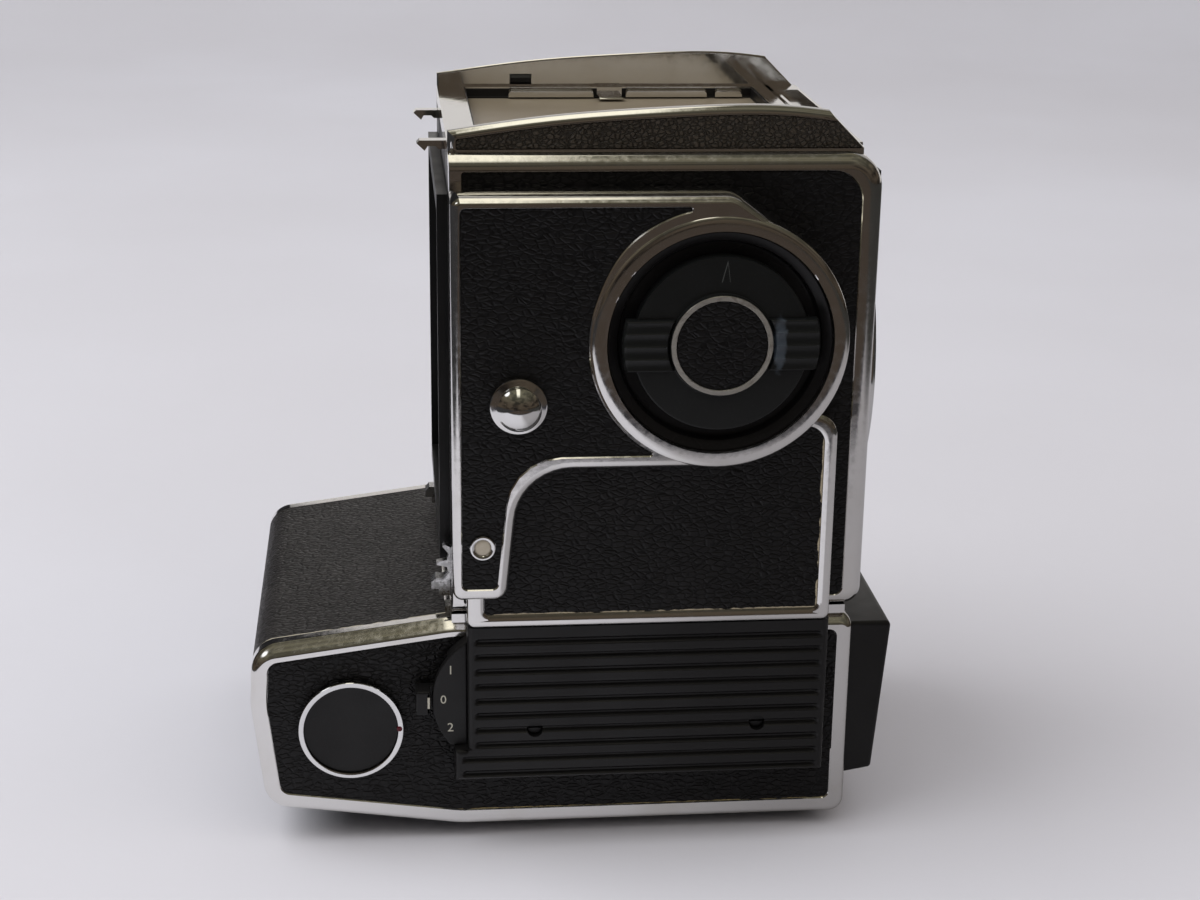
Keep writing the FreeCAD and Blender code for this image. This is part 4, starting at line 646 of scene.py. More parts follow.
def wing(side):
    """Fluted wing: x runs from the hub's circle to the circle that ends the wing, z across it.
    Height = WING_HEIGHT, falling off at the edges, + FLUTE_DEPTH (1 - sqrt |sin|) between sharp crests."""
    across, along = np.meshgrid(np.linspace(-1, 1, 161), np.linspace(0, 1, 28), indexing="ij")
    z = WING_HALF * across
    inner, outer = np.sqrt(WING_IN ** 2 - z ** 2), np.sqrt(WING_OUT ** 2 - z ** 2)
    x = inner + along * (outer - inner)
    end = np.clip(np.minimum(along, 1 - along) * 7 / 0.5, 0, 1)
    edge = np.clip((1 - abs(across)) * WING_HALF / 0.35, 0, 1)
    flutes = 1 - np.sqrt(np.abs(np.sin(np.pi * FLUTES * (across + 1) / 2)))
    ribs = FLUTE_DEPTH * flutes * np.sin(end * np.pi / 2)
    crest = WING_HEIGHT * np.sqrt(1 - (1 - edge) ** 2) + ribs
    fall = 0.5 * (1 - np.sqrt(1 - (1 - end) ** 2 + 1e-9))
    return raised_block(CAP[0] + side * x, CAP[1] + z, DIAL_FACE - crest + fall, DIAL_FACE + 1.0)


show("winding_dial", [dial, wing(1), wing(-1)], worn_dial, ["winding_cap"], "winding_shaft")
pointer = []
for foot, width in ((-0.3, 0.14), (1.1, 0.07)):
    low, high = CAP[1] + 10.6, CAP[1] + 14.2
    line = [(CAP[0] + foot, low, 0), (CAP[0] + foot + width, low, 0),
            (CAP[0] + 0.6 + width, high, 0), (CAP[0] + 0.6, high, 0)]
    pointer.append(carried(rounded_outline(line), [(0, DIAL_FACE + 0.1), (0, DIAL_FACE - 0.02)]))
show("winding_pointer", pointer, index_grey, body="winding_shaft", keep_flat=False)
show("winding_hub_ring", [hub_ring], satin_ring, ["winding_cap_ring"], "winding_shaft")
show("winding_inlay", [inlay], fine_leather, ["winding_cap_disc"], "winding_shaft")

# %% [markdown]
# The grip panel is a satin black casting with ten soft grooves. As a height field over x and z, every
# groove gets rounded ends and the panel's edge rolls over; two screw holes are drilled afterwards.

# %% Ribbed grip panel
GRIP_FACE = -41.5
GRIP_LEFT, GRIP_RIGHT, GRIP_LOW, GRIP_TOP = -34.0, 29.6, 14.4, 43.6
STEP_Z, STEP_BACK = 20.4, 2.3
FIRST_GROOVE, GROOVE_PITCH, GROOVES, GROOVE_DEPTH = 15.7, 2.8, 10, 0.7


def soft_step(value, start, end):
    """Smooth 0 to 1 between start and end: 3t^2 - 2t^3."""
    t = np.clip((value - start) / (end - start), 0, 1)
    return t * t * (3 - 2 * t)


def ribbed_panel():
    """y = face + edge roll + groove depth; the left edge steps back below STEP_Z."""
    z_rows = np.unique(np.concatenate([np.linspace(GRIP_LOW, GRIP_TOP, 205), [20.3, 20.5],
                                       np.linspace(GRIP_LOW, GRIP_LOW + 1.0, 12)]))
    share = np.unique(np.concatenate([np.linspace(0, 0.07, 24), np.linspace(0.07, 0.93, 40),
                                      np.linspace(0.93, 1, 24)]))
    left = GRIP_LEFT - STEP_BACK * soft_step(-z_rows, -20.5, -20.3)
    x = left[:, None] + share[None] * (GRIP_RIGHT - left[:, None])
    z = np.repeat(z_rows[:, None], len(share), 1)
    from_left = np.minimum(x - left[:, None], np.where(x < GRIP_LEFT, STEP_Z - z, 9.0))
    edge = np.minimum(np.minimum(from_left, GRIP_RIGHT - x), z - GRIP_LOW)
    roll = 1.0 - np.sqrt(np.clip(1 - (1 - np.clip(edge, 0, 1)) ** 2, 0, 1))
    number = np.clip(np.round((z - FIRST_GROOVE) / GROOVE_PITCH), 0, GROOVES - 1)
    away = np.abs(z - (FIRST_GROOVE + GROOVE_PITCH * number))
    start = np.where(number < 2, GRIP_LEFT - STEP_BACK, GRIP_LEFT) + 1.0
    ends = soft_step(x, start, start + 1.1) * soft_step(-x, -28.6, -27.5)
    groove = GROOVE_DEPTH * (1 - soft_step(away, 0.12, 0.72)) * ends
    return raised_block(x, z, GRIP_FACE + roll + groove, -SIDE)


SCREWS, SCREW_Z = (-22.2, 17.4), 24.0
LEVER = (-27.2, 29.0)
AT_LEVER = (LEVER[0], 0, LEVER[1])
screw_holes = [rod("y", (x, 0, SCREW_Z), GRIP_FACE - 1, -SIDE + 1, 1.4) for x in SCREWS]
gear_room = block((-19.45, -39.9, 17.75), (12.2, -SIDE + 1, 44.0))
lever_room = block((-35.0, -39.9, 21.0), (-24.3, -SIDE + 1, 37.0))
grip = carve([ribbed_panel()], [*screw_holes, gear_room, lever_room])
lever_pin = rod("y", AT_LEVER, -40.2, -SIDE, 1.5)
grip = carve(grip, [lever_pin], "UNION")
show("ribbed_grip", grip, satin_paint, ["grip_panel"])
screws = []
for x in SCREWS:
    head = turned("y", (x, 0, SCREW_Z), [(-SIDE, 1.37), (GRIP_FACE + 1.35, 1.37), (GRIP_FACE + 1.2, 1.2)], 32)
    slot_cut = block((x - 2, GRIP_FACE + 1.0, SCREW_Z - 0.2), (x + 2, GRIP_FACE + 1.6, SCREW_Z + 0.2))
    screws.append(carve([head], [slot_cut]))
show("grip_screw_pair", screws, satin_paint, ["grip_screws"])

# %% [markdown]
# The shell's corner at the top front is rounder than its edges. Carrying the edge's quarter circle round
# an outline with a 6 mm corner gives both radii at once; booleans then open it for finder, lens and leather.

# %% Body shell
FRONT, LOW, TOP, SEAT_FRONT = 36.5, 43.6, 125.1, 33.4
LENS_AXIS = 84.35
LEATHER_ROOM = 0.6
shell_outline = rounded_outline([(REAR, LOW, 0), (FRONT, LOW, 3.2), (FRONT, TOP, 6.2), (REAR, TOP, 0)], 14)
on_rear = shell_outline[0][:, 0] < REAR + 0.01
shell_outline[1][on_rear, 0] = -0.1
shell = carried(shell_outline, both_sides(rounded_rim(2.8, 2.8, -SIDE, 12)))
side_field = rounded_outline([(REAR + 2.3, LOW + 2.4, 0.4), (FRONT - 3.8, LOW + 2.4, 1.5),
                              (FRONT - 3.8, TOP - 3.0, 5.0), (REAR + 2.3, TOP - 3.0, 0.4)])
side_recesses = [recess_in(side_field, -SIDE, LEATHER_ROOM), recess_in(side_field, SIDE, LEATHER_ROOM, 1)]
front_recess = block((FRONT - LEATHER_ROOM, -SIDE + 3.6, LOW + 3.6), (FRONT + 1, SIDE - 3.6, TOP - 3.6))
inside = block((REAR - 1, -33.8, LOW + 2.2), (34.3, 33.8, TOP - 2.2))
seat_room = block((REAR - 1, -32.35, TOP - 4.4), (SEAT_FRONT, 32.35, TOP + 1))
throat = rod("x", (0, 0, LENS_AXIS), 34.0, 38.0, 29.3, 96)
button_way = rod("x", (0, 27.0, LENS_AXIS - 27.0), 34.0, 38.0, 1.6, 24)
pin_way = rod("x", (0, 29.0, LENS_AXIS), 34.0, 38.0, 1.0, 24)
lug_way = rod("y", AT_LUG, -SIDE - 1, SIDE + 1, 1.8)
shell = carve([shell], [*side_recesses, front_recess, inside, seat_room, throat, button_way,
                        pin_way, lug_way])
show("shell_casting", shell, polished_casting, ["body_shell"])

# %% [markdown]
# The shell's own leather is cut to its recess and lies a little below the polished lip.

# %% Leather of the shell


def pad_on_side(outline, way):
    """Thin pad in a side's recess, eased by 0.1 mm; way -1 lies on the near side, 1 on the far one."""
    return carried(outline, [(0.03, way * (SIDE - LEATHER_ROOM)), (0.03, way * (SIDE - 0.2)),
                             (0.13, way * (SIDE - 0.1))])


show("shell_side_leather", [pad_on_side(side_field, -1), pad_on_side(side_field, 1)], fine_leather,
     ["shell_leathers"])

# %% [markdown]
# The gear housing is a second casting under the cover, with the same rolled rim. It could be one casting
# with the cover, but on the real body it is a part of its own, so a rim is carried round its own
# outline and the cover's shape is cut away where the two meet.

# %% Gear housing
HOUSING_FACE, HOUSING_TOP = -42.0, 81.5
housing_outline = rounded_outline([(-34.1, LOW, 1.4), (29.4, LOW, 1.4), (29.4, HOUSING_TOP, 4.0),
                                   (-34.1, HOUSING_TOP, 0)])
housing = carried(housing_outline, [(0, -SIDE), *rounded_rim(1.2, 1.1, HOUSING_FACE)])
housing_field = rounded_outline([(-31.1, 46.1, 0.9), (27.1, 46.1, 0.9), (27.1, 79.2, 3.0), (-31.1, 79.2, 0)])
for_cover = [carried(cover_outline, [(0, -50), (0, -SIDE + 1)]),
             rod("y", AT_CAP, -50, -SIDE + 1, RING_RADIUS, 96)]
housing_recess = carried(housing_field, [(-1.1, HOUSING_FACE - 0.2), (-0.85, HOUSING_FACE),
                                         (-0.1, HOUSING_FACE + 0.45), (0, HOUSING_FACE + 0.8)])
gear_hollow = block((-9.7, -40.4, LOW - 1), (26.4, -SIDE + 1, 77.5))
housing = carve([housing], [*for_cover, housing_recess, gear_hollow])
show("gear_housing_casting", housing, polished_casting, ["gear_housing"])
housing_pad = carried(housing_field, [(0.03, HOUSING_FACE + 0.8), (0.03, HOUSING_FACE + 0.35),
                                      (0.13, HOUSING_FACE + 0.3)])
show("gear_housing_pad", carve([housing_pad], for_cover), housing_leather,
     ["gear_housing_leather"])

# %% [markdown]
# The motor base is a cast shell with a tapering tail. Its rims roll over on both sides, so one profile that
# rolls out, runs across and rolls in again makes the whole outer form. It is hollow: a smaller copy of
# the outline is cut out, then the battery bay, the motor's shaft hole and the selector's hole.

# %% Motor base
BASE_CORNERS = [(-35.3, 2.85, 25), (35.1, 2.85, 2.6), (35.1, 42.1, 2.6), (REAR, 42.7, 25), (-71.5, 38.0, 5),
                (-72.1, 27.5, 25), (-69.8, 7.7, 5)]


def inset_corners(corners, distance, least):
    """Corners moved inwards by distance along their mitres; a radius shrinks as much, down to least."""
    points, mitres = rounded_outline([(x, z, 0) for x, z, radius in corners])
    return [(x, z, max(corner[2] - distance, least))
            for (x, z), corner in zip((points - distance * mitres).tolist(), corners)]


base_outline = rounded_outline(BASE_CORNERS, 12)
base_roll, top_roll = rounded_rim(1.1, 1.1, -SIDE, 14), rounded_rim(2.0, 2.6, -SIDE, 14, 1.5)
base_field = rounded_outline(inset_corners(BASE_CORNERS, 3.0, 1.2))
BASE_WALL = 1.8
base_room = carried(rounded_outline(inset_corners(BASE_CORNERS, BASE_WALL, 0.8)),
                    [(0, -SIDE + BASE_WALL), (0, SIDE - BASE_WALL)])
AT_SELECTOR, AT_SHAFT = (-54.5, 0, 22.9), (-11.95, 0, 24.61)
AT_RELEASE, AT_SOCKET = (0, -21, 30), (0, -21, 18)
stem_hole = rod("y", AT_SELECTOR, -SIDE - 1, -SIDE + 2, 2.55, 48)
shaft_hole = rod("y", AT_SHAFT, -SIDE - 1, -SIDE + 2, 2.0, 48)
near_recess = recess_in(base_field, -SIDE, LEATHER_ROOM)
far_field = carve([carried(base_field, [(0, SIDE + 1), (0, SIDE - LEATHER_ROOM)])],
                  [block((-75, SIDE - 1, 0), (-35.4, SIDE + 2, 45))])


TAIL_NEAR, TAIL_FAR = -31.6, 36.1


def tail_band(outside, inside, ease):
    """Band over the tail's top and rear, between two insets of the outline and two side planes."""
    near, far = TAIL_NEAR + ease, TAIL_FAR - ease
    solid = mesh_of("tail_band", [carried(base_outline, [(outside, near), (outside, far)])])
    hollow_band = carve(solid, [carried(base_outline, [(inside, near - 1), (inside, far + 1)])])
    return carve(hollow_band, [block((-75, near - 1, 12.3), (-37.5, far + 1, 45))], "INTERSECT")


tail_corners = [(REAR, BASE_CORNERS[0][1] + 0.2, 0), (REAR, BASE_CORNERS[3][1], 0), *BASE_CORNERS[4:]]
DOOR_FRAME = 39.2
frame_roll = rounded_rim(1.2, 1.4, -DOOR_FRAME, 10) * (1, -1)
door_frame = carried(rounded_outline(tail_corners, 12), [(0.0, SIDE - 0.1), *frame_roll])
door_room = block((-67.9, SIDE + 0.02, 10.15), (-34, 41, 37.75))
base = carve([carried(base_outline, both_sides(base_roll), both_sides(top_roll))],
             [tail_band(-0.5, 0.6, 0.0), base_room])
base = carve(base, [door_frame], "UNION")
base = carve(base, [door_room, near_recess, far_field, stem_hole, shaft_hole,
                    block((-66, SIDE - 3, 12), (-40, SIDE + 1, 36)),
                    rod("z", (0, 0, 0), 3, 6, 6.5, 64), rod("x", AT_RELEASE, 32, 37, 1.6)])
print("base shell faces:", len(base.polygons))

# %% Deck, divider, cradle and hinge of the base
CELLS, CELL_Z = (-59.8, -46.2), 24.5
cradle_side = rounded_outline([(-64, 8.8, 0), (-41, 5.6, 0), (-41, CELL_Z, 0), (-64, CELL_Z, 0)])
cradle = carve([carried(cradle_side, [(0, -20), (0, 20)])],
               [rod("y", (x, 0, CELL_Z), -21, 21, 6.8, 64) for x in CELLS])
AT_HINGE = (-36.9, 37.3, 0)
ears = []
for low in (13.5, 32.3):
    ears += [turned("z", AT_HINGE, [(low, 1.0), (low + 0.15, 1.2), (low + 2.05, 1.2), (low + 2.2, 1.0)], 32),
             block((AT_HINGE[0] - 1.2, SIDE - 1.2, low), (AT_HINGE[0] + 1.2, AT_HINGE[1], low + 2.2))]
ears.append(rod("z", AT_HINGE, 13.5, 34.5, 0.6, 24))
deck = block((REAR, -34.8, 42.0), (33.7, 34.8, LOW))
divider = block((REAR - 1.4, -34.3, 4.4), (REAR, 34.3, 41.2))
base = carve(base, [deck, divider, cradle, *ears], "UNION")
show("motor_base_casting", base, polished_casting, ["motor_housing"])

# %% [markdown]
# The base's underside could be painted face by face; a thin plate that follows the taper, with room for the
# tripod plate, keeps one finish per piece. The plate is black as painted shade: a dark sheet that deepens the
# shadow under the base.

# %% Underside of the base
underside_outline = rounded_outline([(-66.5, 7.0, 0), (-35.3, 2.45, 0), (32.0, 2.45, 0), (32.0, 3.0, 0),
                                     (-35.3, 3.0, 0), (-66.5, 7.6, 0)])
underside = carried(underside_outline, [(0, -33.0), (0, 33.0)])
plate_room = block((-22.3, -21.3, 0), (22.3, 21.3, 4))
# Painted shade: a black plate under the base to darken the gap above the paper.
show("base_shade_plate", carve([underside], [plate_room]), satin_paint, bevel=0.1)

# %% Leather of the base
near_pad = carve([pad_on_side(base_field, -1)], [stem_hole, shaft_hole])
far_pad = carve([pad_on_side(base_field, 1)], [block((-75, SIDE - 1, 0), (-35.36, SIDE + 2, 45))])
show("base_side_leather", [near_pad, far_pad], base_leather, ["base_side_leathers"])
show("base_tail_leather", tail_band(0.05, 0.6, 0.05), tail_leather, ["base_rear_leather"])

# %% [markdown]
# The finder seat stands on the shell: a floor with an opening over the screen, and two side walls whose top
# edge is one smooth curve. Five points measured on the photograph fix it; a natural cubic spline through
# them bends evenly, where straight pieces would show kinks in the reflection.

# %% Finder seat's walls
SEAT_FLOOR = 126.1
CROWN = np.array([(REAR, 128.5), (-20.4, 130.7), (2.8, 132.3), (22.0, 132.3), (27.2, 131.7)])


def smooth_through(knots, steps):
    """Natural cubic spline: second derivatives m solve the tridiagonal system of equal slopes at the knots,
    and P(t) = a P0 + b P1 + ((a^3 - a) m0 + (b^3 - b) m1) h^2 / 6 between two knots."""
    run = np.concatenate([[0], np.cumsum(np.linalg.norm(np.diff(knots, axis=0), axis=1))])
    gap = np.diff(run)
    inner = len(knots) - 2
    system = np.diag(2 * (gap[:-1] + gap[1:])) + np.diag(gap[1:-1], 1) + np.diag(gap[1:-1], -1)
    slope = np.diff(knots, axis=0) / gap[:, None]
    bend = np.zeros_like(knots)
    bend[1:inner + 1] = np.linalg.solve(system, 6 * np.diff(slope, axis=0))
    t = np.linspace(0, run[-1], steps)
    part = np.clip(np.searchsorted(run, t, side="right") - 1, 0, len(gap) - 1)
    h = gap[part][:, None]
    b = (t[:, None] - run[part][:, None]) / h
    a = 1 - b
    pull = (a ** 3 - a) * bend[part] + (b ** 3 - b) * bend[part + 1]
    return a * knots[part] + b * knots[part + 1] + pull * h ** 2 / 6


crown = smooth_through(CROWN, 44)
wall_corners = [(REAR, 122.0, 0), (SEAT_FRONT, 122.0, 0), (SEAT_FRONT, 125.5, 0), *sharp(crown[::-1])]
wall_outline = rounded_outline(wall_corners)
SLOPE_SHARE = 0.2
slope_normal = np.array([1.0, 1.0]) / math.sqrt(2)
crown_run = crown[-2] - crown[-1]
crown_normal = np.array([crown_run[1], -crown_run[0]]) / np.linalg.norm(crown_run)
wall_outline[1][1:3] *= (SLOPE_SHARE, 1.0)
wall_outline[1][2, 1] *= SLOPE_SHARE
wall_outline[1][3] = np.linalg.solve(np.stack([slope_normal, crown_normal]), (SLOPE_SHARE, 1.0))
rim_line = (wall_outline[0] - 1.6 * wall_outline[1])[2:]
STRIP_LOW = 125.45
strip_top = rim_line[(rim_line[:, 0] > -34.2) & (rim_line[:, 1] > STRIP_LOW)]
strip_foot = float(np.interp(STRIP_LOW, rim_line[:2, 1], rim_line[:2, 0]))
strip_head = float(np.interp(-35.1, rim_line[::-1, 0], rim_line[::-1, 1]))
strip_outline = rounded_outline([(-35.1, STRIP_LOW, 0.3), (strip_foot, STRIP_LOW, 0.15),
                                 *sharp(strip_top), (-35.1, strip_head, 0.3)], 6)


def seat_wall(way):
    """Wall with rolled edges, from its inner face out to 33.0 mm, sunk where the leather strip lies."""
    outer_roll = rounded_rim(1.45, 1.5, -33.0, 10) * (1, -1)
    wall = carried(wall_outline, np.array([(0.4, 30.9), (0.12, 30.98), (0, 31.15), *outer_roll]) * (1, way))
    sunk = carried(strip_outline, np.array([(-0.05, 33.6), (-0.05, 33.0), (0, 32.85), (0, 32.5)]) * (1, way))
    return carve([wall], [sunk])


catch_slot = block((-22.5, 30, 126.3), (-18.3, 34, 128.3))
far_wall = carve(seat_wall(1), [catch_slot])
strip_rows = np.array([(0.03, 32.5), (0.03, 32.8), (0.12, 32.9)])
strips = [carried(strip_outline, strip_rows * (1, way)) for way in (-1, 1)]
show("finder_strip_leather", strips, strip_leather, ["finder_leathers"])

# %% Finder seat's floor
seat_floor = carve([block((REAR, -31.1, 122.9), (SEAT_FRONT, 31.1, SEAT_FLOOR))],
                   [block((-34.5, -32.3, 120.6), (33.3, 32.3, 123.2))], "UNION")
seat_floor = carve(seat_floor, [block((-31.4, -28.9, 122.4), (24.6, 28.9, 127)),
                                block((-30.5, -28.0, 120), (23.7, 28.0, 123)),
                                block((27.2, -30.9, SEAT_FLOOR - 0.6), (28.0, 30.9, 127)),
                                block((28.6, -25, SEAT_FLOOR - 1.2), (32.8, 25, 127))])
show("finder_seat", [seat_floor, seat_wall(-1), far_wall], chrome,
     ["finder_frame"], bevel=0.12)

# %% Clips and springs that hold the screen
clip_side = rounded_outline([(-5.8, 124.3, 0), (-1.0, 124.3, 0), (-1.0, 124.8, 0.2), (-5.8, 124.8, 0.2)], 4)


def screen_clip(way):
    """Flat clip over the screen's edge, with a riser up to the seat's floor."""
    reach = np.array([(0.2, 23.9), (0, 24.1), (0, 28.9)]) * (1, way)
    riser = block((-5.8, min(28.3 * way, 28.9 * way), 124.7), (-1.0, max(28.3 * way, 28.9 * way), SEAT_FLOOR))
    return carve([carried(clip_side, reach)], [riser], "UNION")


def screen_spring(low_x, high_x, way):
    """Narrow raised spring along the opening's edge, rounded at both ends."""
    side = rounded_outline([(low_x, 124.2, 0), (high_x, 124.2, 0), (high_x, 125.85, 0.8),
                            (low_x, 125.85, 0.8)], 8)
    reach = np.array([(0.4, 27.4), (0.12, 27.5), (0, 27.75), (0, 28.88)]) * (1, way)
    return mesh_of("spring", [carried(side, reach)])


holders = [screen_clip(-1), screen_clip(1)]
holders += [screen_spring(low, high, way)
            for low, high in ((-23, -6.4), (-0.4, 15.6), (17, 22.5)) for way in (-1, 1)]
show("screen_clip_set", holders, chrome, ["screen_clips"])
screen_edge = carve([block((-31.39, -28.89, 122.4), (24.59, 28.89, 125.8))],
                    [block((-30.95, -28.45, 122.0), (24.15, 28.45, 127.0)),
                     block((-31.1, -28.6, 124.3), (24.3, 28.6, 127.0))])
show("screen_surround", screen_edge, satin_paint, ["screen_frame"], bevel=0.06)

# %% [markdown]
# Small turned parts: the strap lugs, the signal's bezel and glass, and the selector. Each is a short list of
# distances and radii, as a lathe would cut it.

# %% Strap lugs
dome = np.radians(np.linspace(53.13, 4, 12))
dome_rows = [(-48.6 + 4.625 * (1 - math.cos(t)), 4.625 * math.sin(t)) for t in dome.tolist()]
lug_rows = np.array([(-42.0, 1.75), (-43.8, 1.75), (-43.8, 4.8), (-44.5, 4.85), (-44.7, 4.75), (-44.8, 4.5),
                     (-44.72, 2.9), (-44.9, 2.5), (-46.1, 2.4), (-46.2, 3.45), (-46.3, 3.62), (-46.45, 3.7),
                     *dome_rows])
far_rows = (lug_rows + (7.8, 0)) * (-1, 1)
near_lug = turned("y", AT_LUG, np.concatenate([[(-33.8, 1.75)], lug_rows]))
far_lug = turned("y", AT_LUG, np.concatenate([[(33.8, 1.75)], far_rows]))
show("strap_lug_pair", [near_lug, far_lug], chrome, ["strap_lugs"])

# %% Signal window
bezel = turned("y", AT_SIGNAL, [(-43.2, 2.2), (-44.0, 2.2), (-44.14, 2.12), (-44.2, 1.95), (-44.16, 1.7),
                                (-43.98, 1.45), (-43.9, 1.4), (-43.2, 1.4)], 64, hollow=True)
show("signal_rim", [bezel], chrome, ["signal_bezel"])
pane = turned("y", AT_SIGNAL, [(-43.2, 1.39), (-43.8, 1.39), (-43.93, 1.25), (-44.0, 0.7)], 64)
show("signal_pane", [pane], window_glass, ["signal_glass"])

# %% Selector
selector_rim = turned("y", AT_SELECTOR, [(-36.3, 9.25), (-37.38, 9.25), (-37.5, 9.17), (-37.5, 8.5),
                                         (-37.42, 8.36), (-36.3, 8.36)], 128, hollow=True)
show("selector_rim", [selector_rim], chrome, ["selector_ring"], "selector")
disc_rows = [(-33.6, 2.5), (-36.3, 2.5), (-36.3, 8.34), (-36.78, 8.34), (-36.9, 8.2), (-36.9, 8.0),
             (-36.83, 7.7), (-36.8, 2.0)]
show("selector_disc", [turned("y", AT_SELECTOR, disc_rows, 128)], satin_paint,
     ["selector_knob"], "selector")
AT_DOT = (AT_SELECTOR[0] + 8.55, 0, AT_SELECTOR[2] + 0.13)
dot = turned("y", AT_DOT, [(-37.2, 0.5), (-37.55, 0.48), (-37.62, 0.3)], 24)
show("selector_dot", [dot], dark_red, body="selector")

# %% [markdown]
# The lever swings under a marked plate. The plate is part of a disc: an arc of corners closed by two
# straight edges. Its three marks are plain numbers, set in Blender's own font and turned into thin meshes.

# %% Plate, numbers and lever
PLATE_FACE = -39.2
PLATE_RADIUS = 13.0
first = math.degrees(math.acos(-6.8 / PLATE_RADIUS))
last = 180 + math.degrees(math.asin(8.6 / PLATE_RADIUS))
plate_arc = on_circle(LEVER, PLATE_RADIUS, np.linspace(first, last, 36))
plate_outline = rounded_outline([(GRIP_LEFT, STEP_Z, 0), *sharp(plate_arc)])
plate = carried(plate_outline, [(0, -SIDE), (0, PLATE_FACE + 0.35), (0.1, PLATE_FACE + 0.1),
                                (0.35, PLATE_FACE)])
lever_slot = block((-41, -38, 21), (-33, -35, 37))
show("lever_plate", carve([plate], [lever_slot]), satin_paint, ["mode_plate"])


LETTER_SCALE = 1.38


def number_mark(text, x, z, height):
    """Thin number on the plate, centred at x and z, facing the camera's side."""
    letters = bpy.data.curves.new("number", "FONT")
    letters.body = text
    letters.size = height * LETTER_SCALE * MM
    letters.extrude = 0.03 * MM
    letters.align_x, letters.align_y = "CENTER", "CENTER"
    carrier = in_scene("number", letters)
    mesh = evaluated_mesh(carrier)
    bpy.data.objects.remove(carrier)
    upright = Matrix.Rotation(math.radians(90), 4, "X")
    mesh.transform(Matrix.Translation(Vector((x, PLATE_FACE, z)) * MM) @ upright)
    return mesh


numbers = [number_mark(*mark) for mark in (("1", -36.9, 34.8, 1.7), ("0", -38.2, 29.2, 1.6),
                                           ("2", -37.0, 23.8, 1.7))]
show("plate_numbers", numbers, mark_paint, keep_flat=False)

arm_outline = rounded_outline([(-43.0, 26.7, 0.5), (-24.6, 26.7, 2.2), (-24.6, 31.3, 2.2),
                               (-43.0, 31.3, 0.5)])
arm = carried(arm_outline, [(0.15, -36.3), (0, -36.4), (0, -37.6), (0.15, -37.7)])
nose_outline = rounded_outline([(-43.1, 26.7, 0.5), (-40.5, 26.7, 0.2), (-40.5, 31.3, 0.2),
                                (-43.1, 31.3, 0.5)], 6)
nose = carried(nose_outline, [(0, -36.4), (0, -39.8), (0.15, -40.15), (0.5, -40.3)])
pin_hole = rod("y", AT_LEVER, -38, -36, 1.55)
lever = carve(carve([arm], [nose], "UNION"), [pin_hole])
show("marked_lever", lever, satin_paint, ["mode_lever"], "lever")
tick = block((-41.0, -40.36, 28.1), (-40.62, -40.2, 30.2))
show("lever_tick", [tick], mark_paint, body="lever")

# %% [markdown]
# The release block on the front: a satin casting whose face leans out towards its top, with eased edges.

# %% Release block
block_outline = rounded_outline([(33.9, 9.5, 0), (40.4, 10.6, 0.8), (42.7, 39.7, 1.0), (33.9, 39.7, 0)], 8)
block_roll = rounded_rim(0.8, 0.8, 0, 8)
release = carried(block_outline, [*(block_roll + (0, -34.0))[::-1], *(block_roll * (1, -1) + (0, -8.0))])
release = carve([release], [rod("x", AT_RELEASE, 36.5, 44, 4.5, 64), rod("x", AT_SOCKET, 35.9, 44, 4.02, 64),
                            rod("x", AT_RELEASE, 33, 37, 1.55)])
show("release_casting", release, block_paint, ["release_box"])

# %% [markdown]
# The stage: pale paper that runs over the table and up behind the camera body in one curve. A flat plane
# would show its edge as a horizon line, so the profile goes from flat to upright through a quarter circle.
# In reflections only, the paper is painted over past lines across the table: a dark room as painted
# reflection, the paper's right half darker as painted shade, and the far backdrop brighter as painted light.

# %% Paper sweep
paper = finish_of("paper", (0.62, 0.61, 0.645), 0.85)
paper_cloud = ramp(paper, noise(paper, 2.2, 4), 0.35, 0.7)
plain_paper = blend_colours(paper, paper_cloud, (0.62, 0.61, 0.64), (0.68, 0.675, 0.715))
on_table = add(paper, "ShaderNodeSeparateXYZ", {0: place_of(paper)}).outputs
reflected = add(paper, "ShaderNodeLightPath").outputs["Is Glossy Ray"]


def beyond(axis, start, end, colour, under):
    """For reflections only: past a line across the table, the paper turns into a painted reflection of a
    given colour.
    """
    share = times(paper, ramp(paper, on_table[axis], start, end), reflected)
    return blend_colours(paper, share, under, colour)


# Painted reflections, for glossy rays only: the first line darkens the paper's right half as painted shade,
# the fifth brightens the far backdrop as painted light, and the others paint a dark table edge, floor and
# sides.
PAINTED_REFLECTIONS = (("X", -0.015, 0.03, (0.36, 0.35, 0.365)), ("Y", -0.252, -0.272, (0.022, 0.023, 0.032)),
             ("Y", -0.285, -0.315, (0.05, 0.036, 0.026)), ("X", 0.26, 0.36, (0.03, 0.03, 0.028)),
             ("Y", 0.6, 1.1, (1.0, 0.97, 0.92)), ("X", -0.25, -0.29, (0.02, 0.02, 0.022)))
paper_colour = plain_paper
for axis, start, end, colour in PAINTED_REFLECTIONS:
    paper_colour = beyond(axis, start, end, colour, paper_colour)
feed(paper, "Base Color", paper_colour)
relief(paper, noise(paper, 150, 4), 0.0001)


def sweep_paper(front_y, bend_y, radius, top_z, half_width):
    """Grid of points: rows run along Y, flat at z 0, round a quarter circle and up; columns run along X."""
    turn = np.linspace(0, np.pi / 2, 25)
    y = np.concatenate([[front_y], bend_y + radius * np.sin(turn), [bend_y + radius]])
    z = np.concatenate([[0.0], radius - radius * np.cos(turn), [top_z]])
    x = np.linspace(-half_width, half_width, 3)
    return np.stack([np.repeat(x[None], len(y), 0), np.repeat(y[:, None], len(x), 1),
                     np.repeat(z[:, None], len(x), 1)], -1)


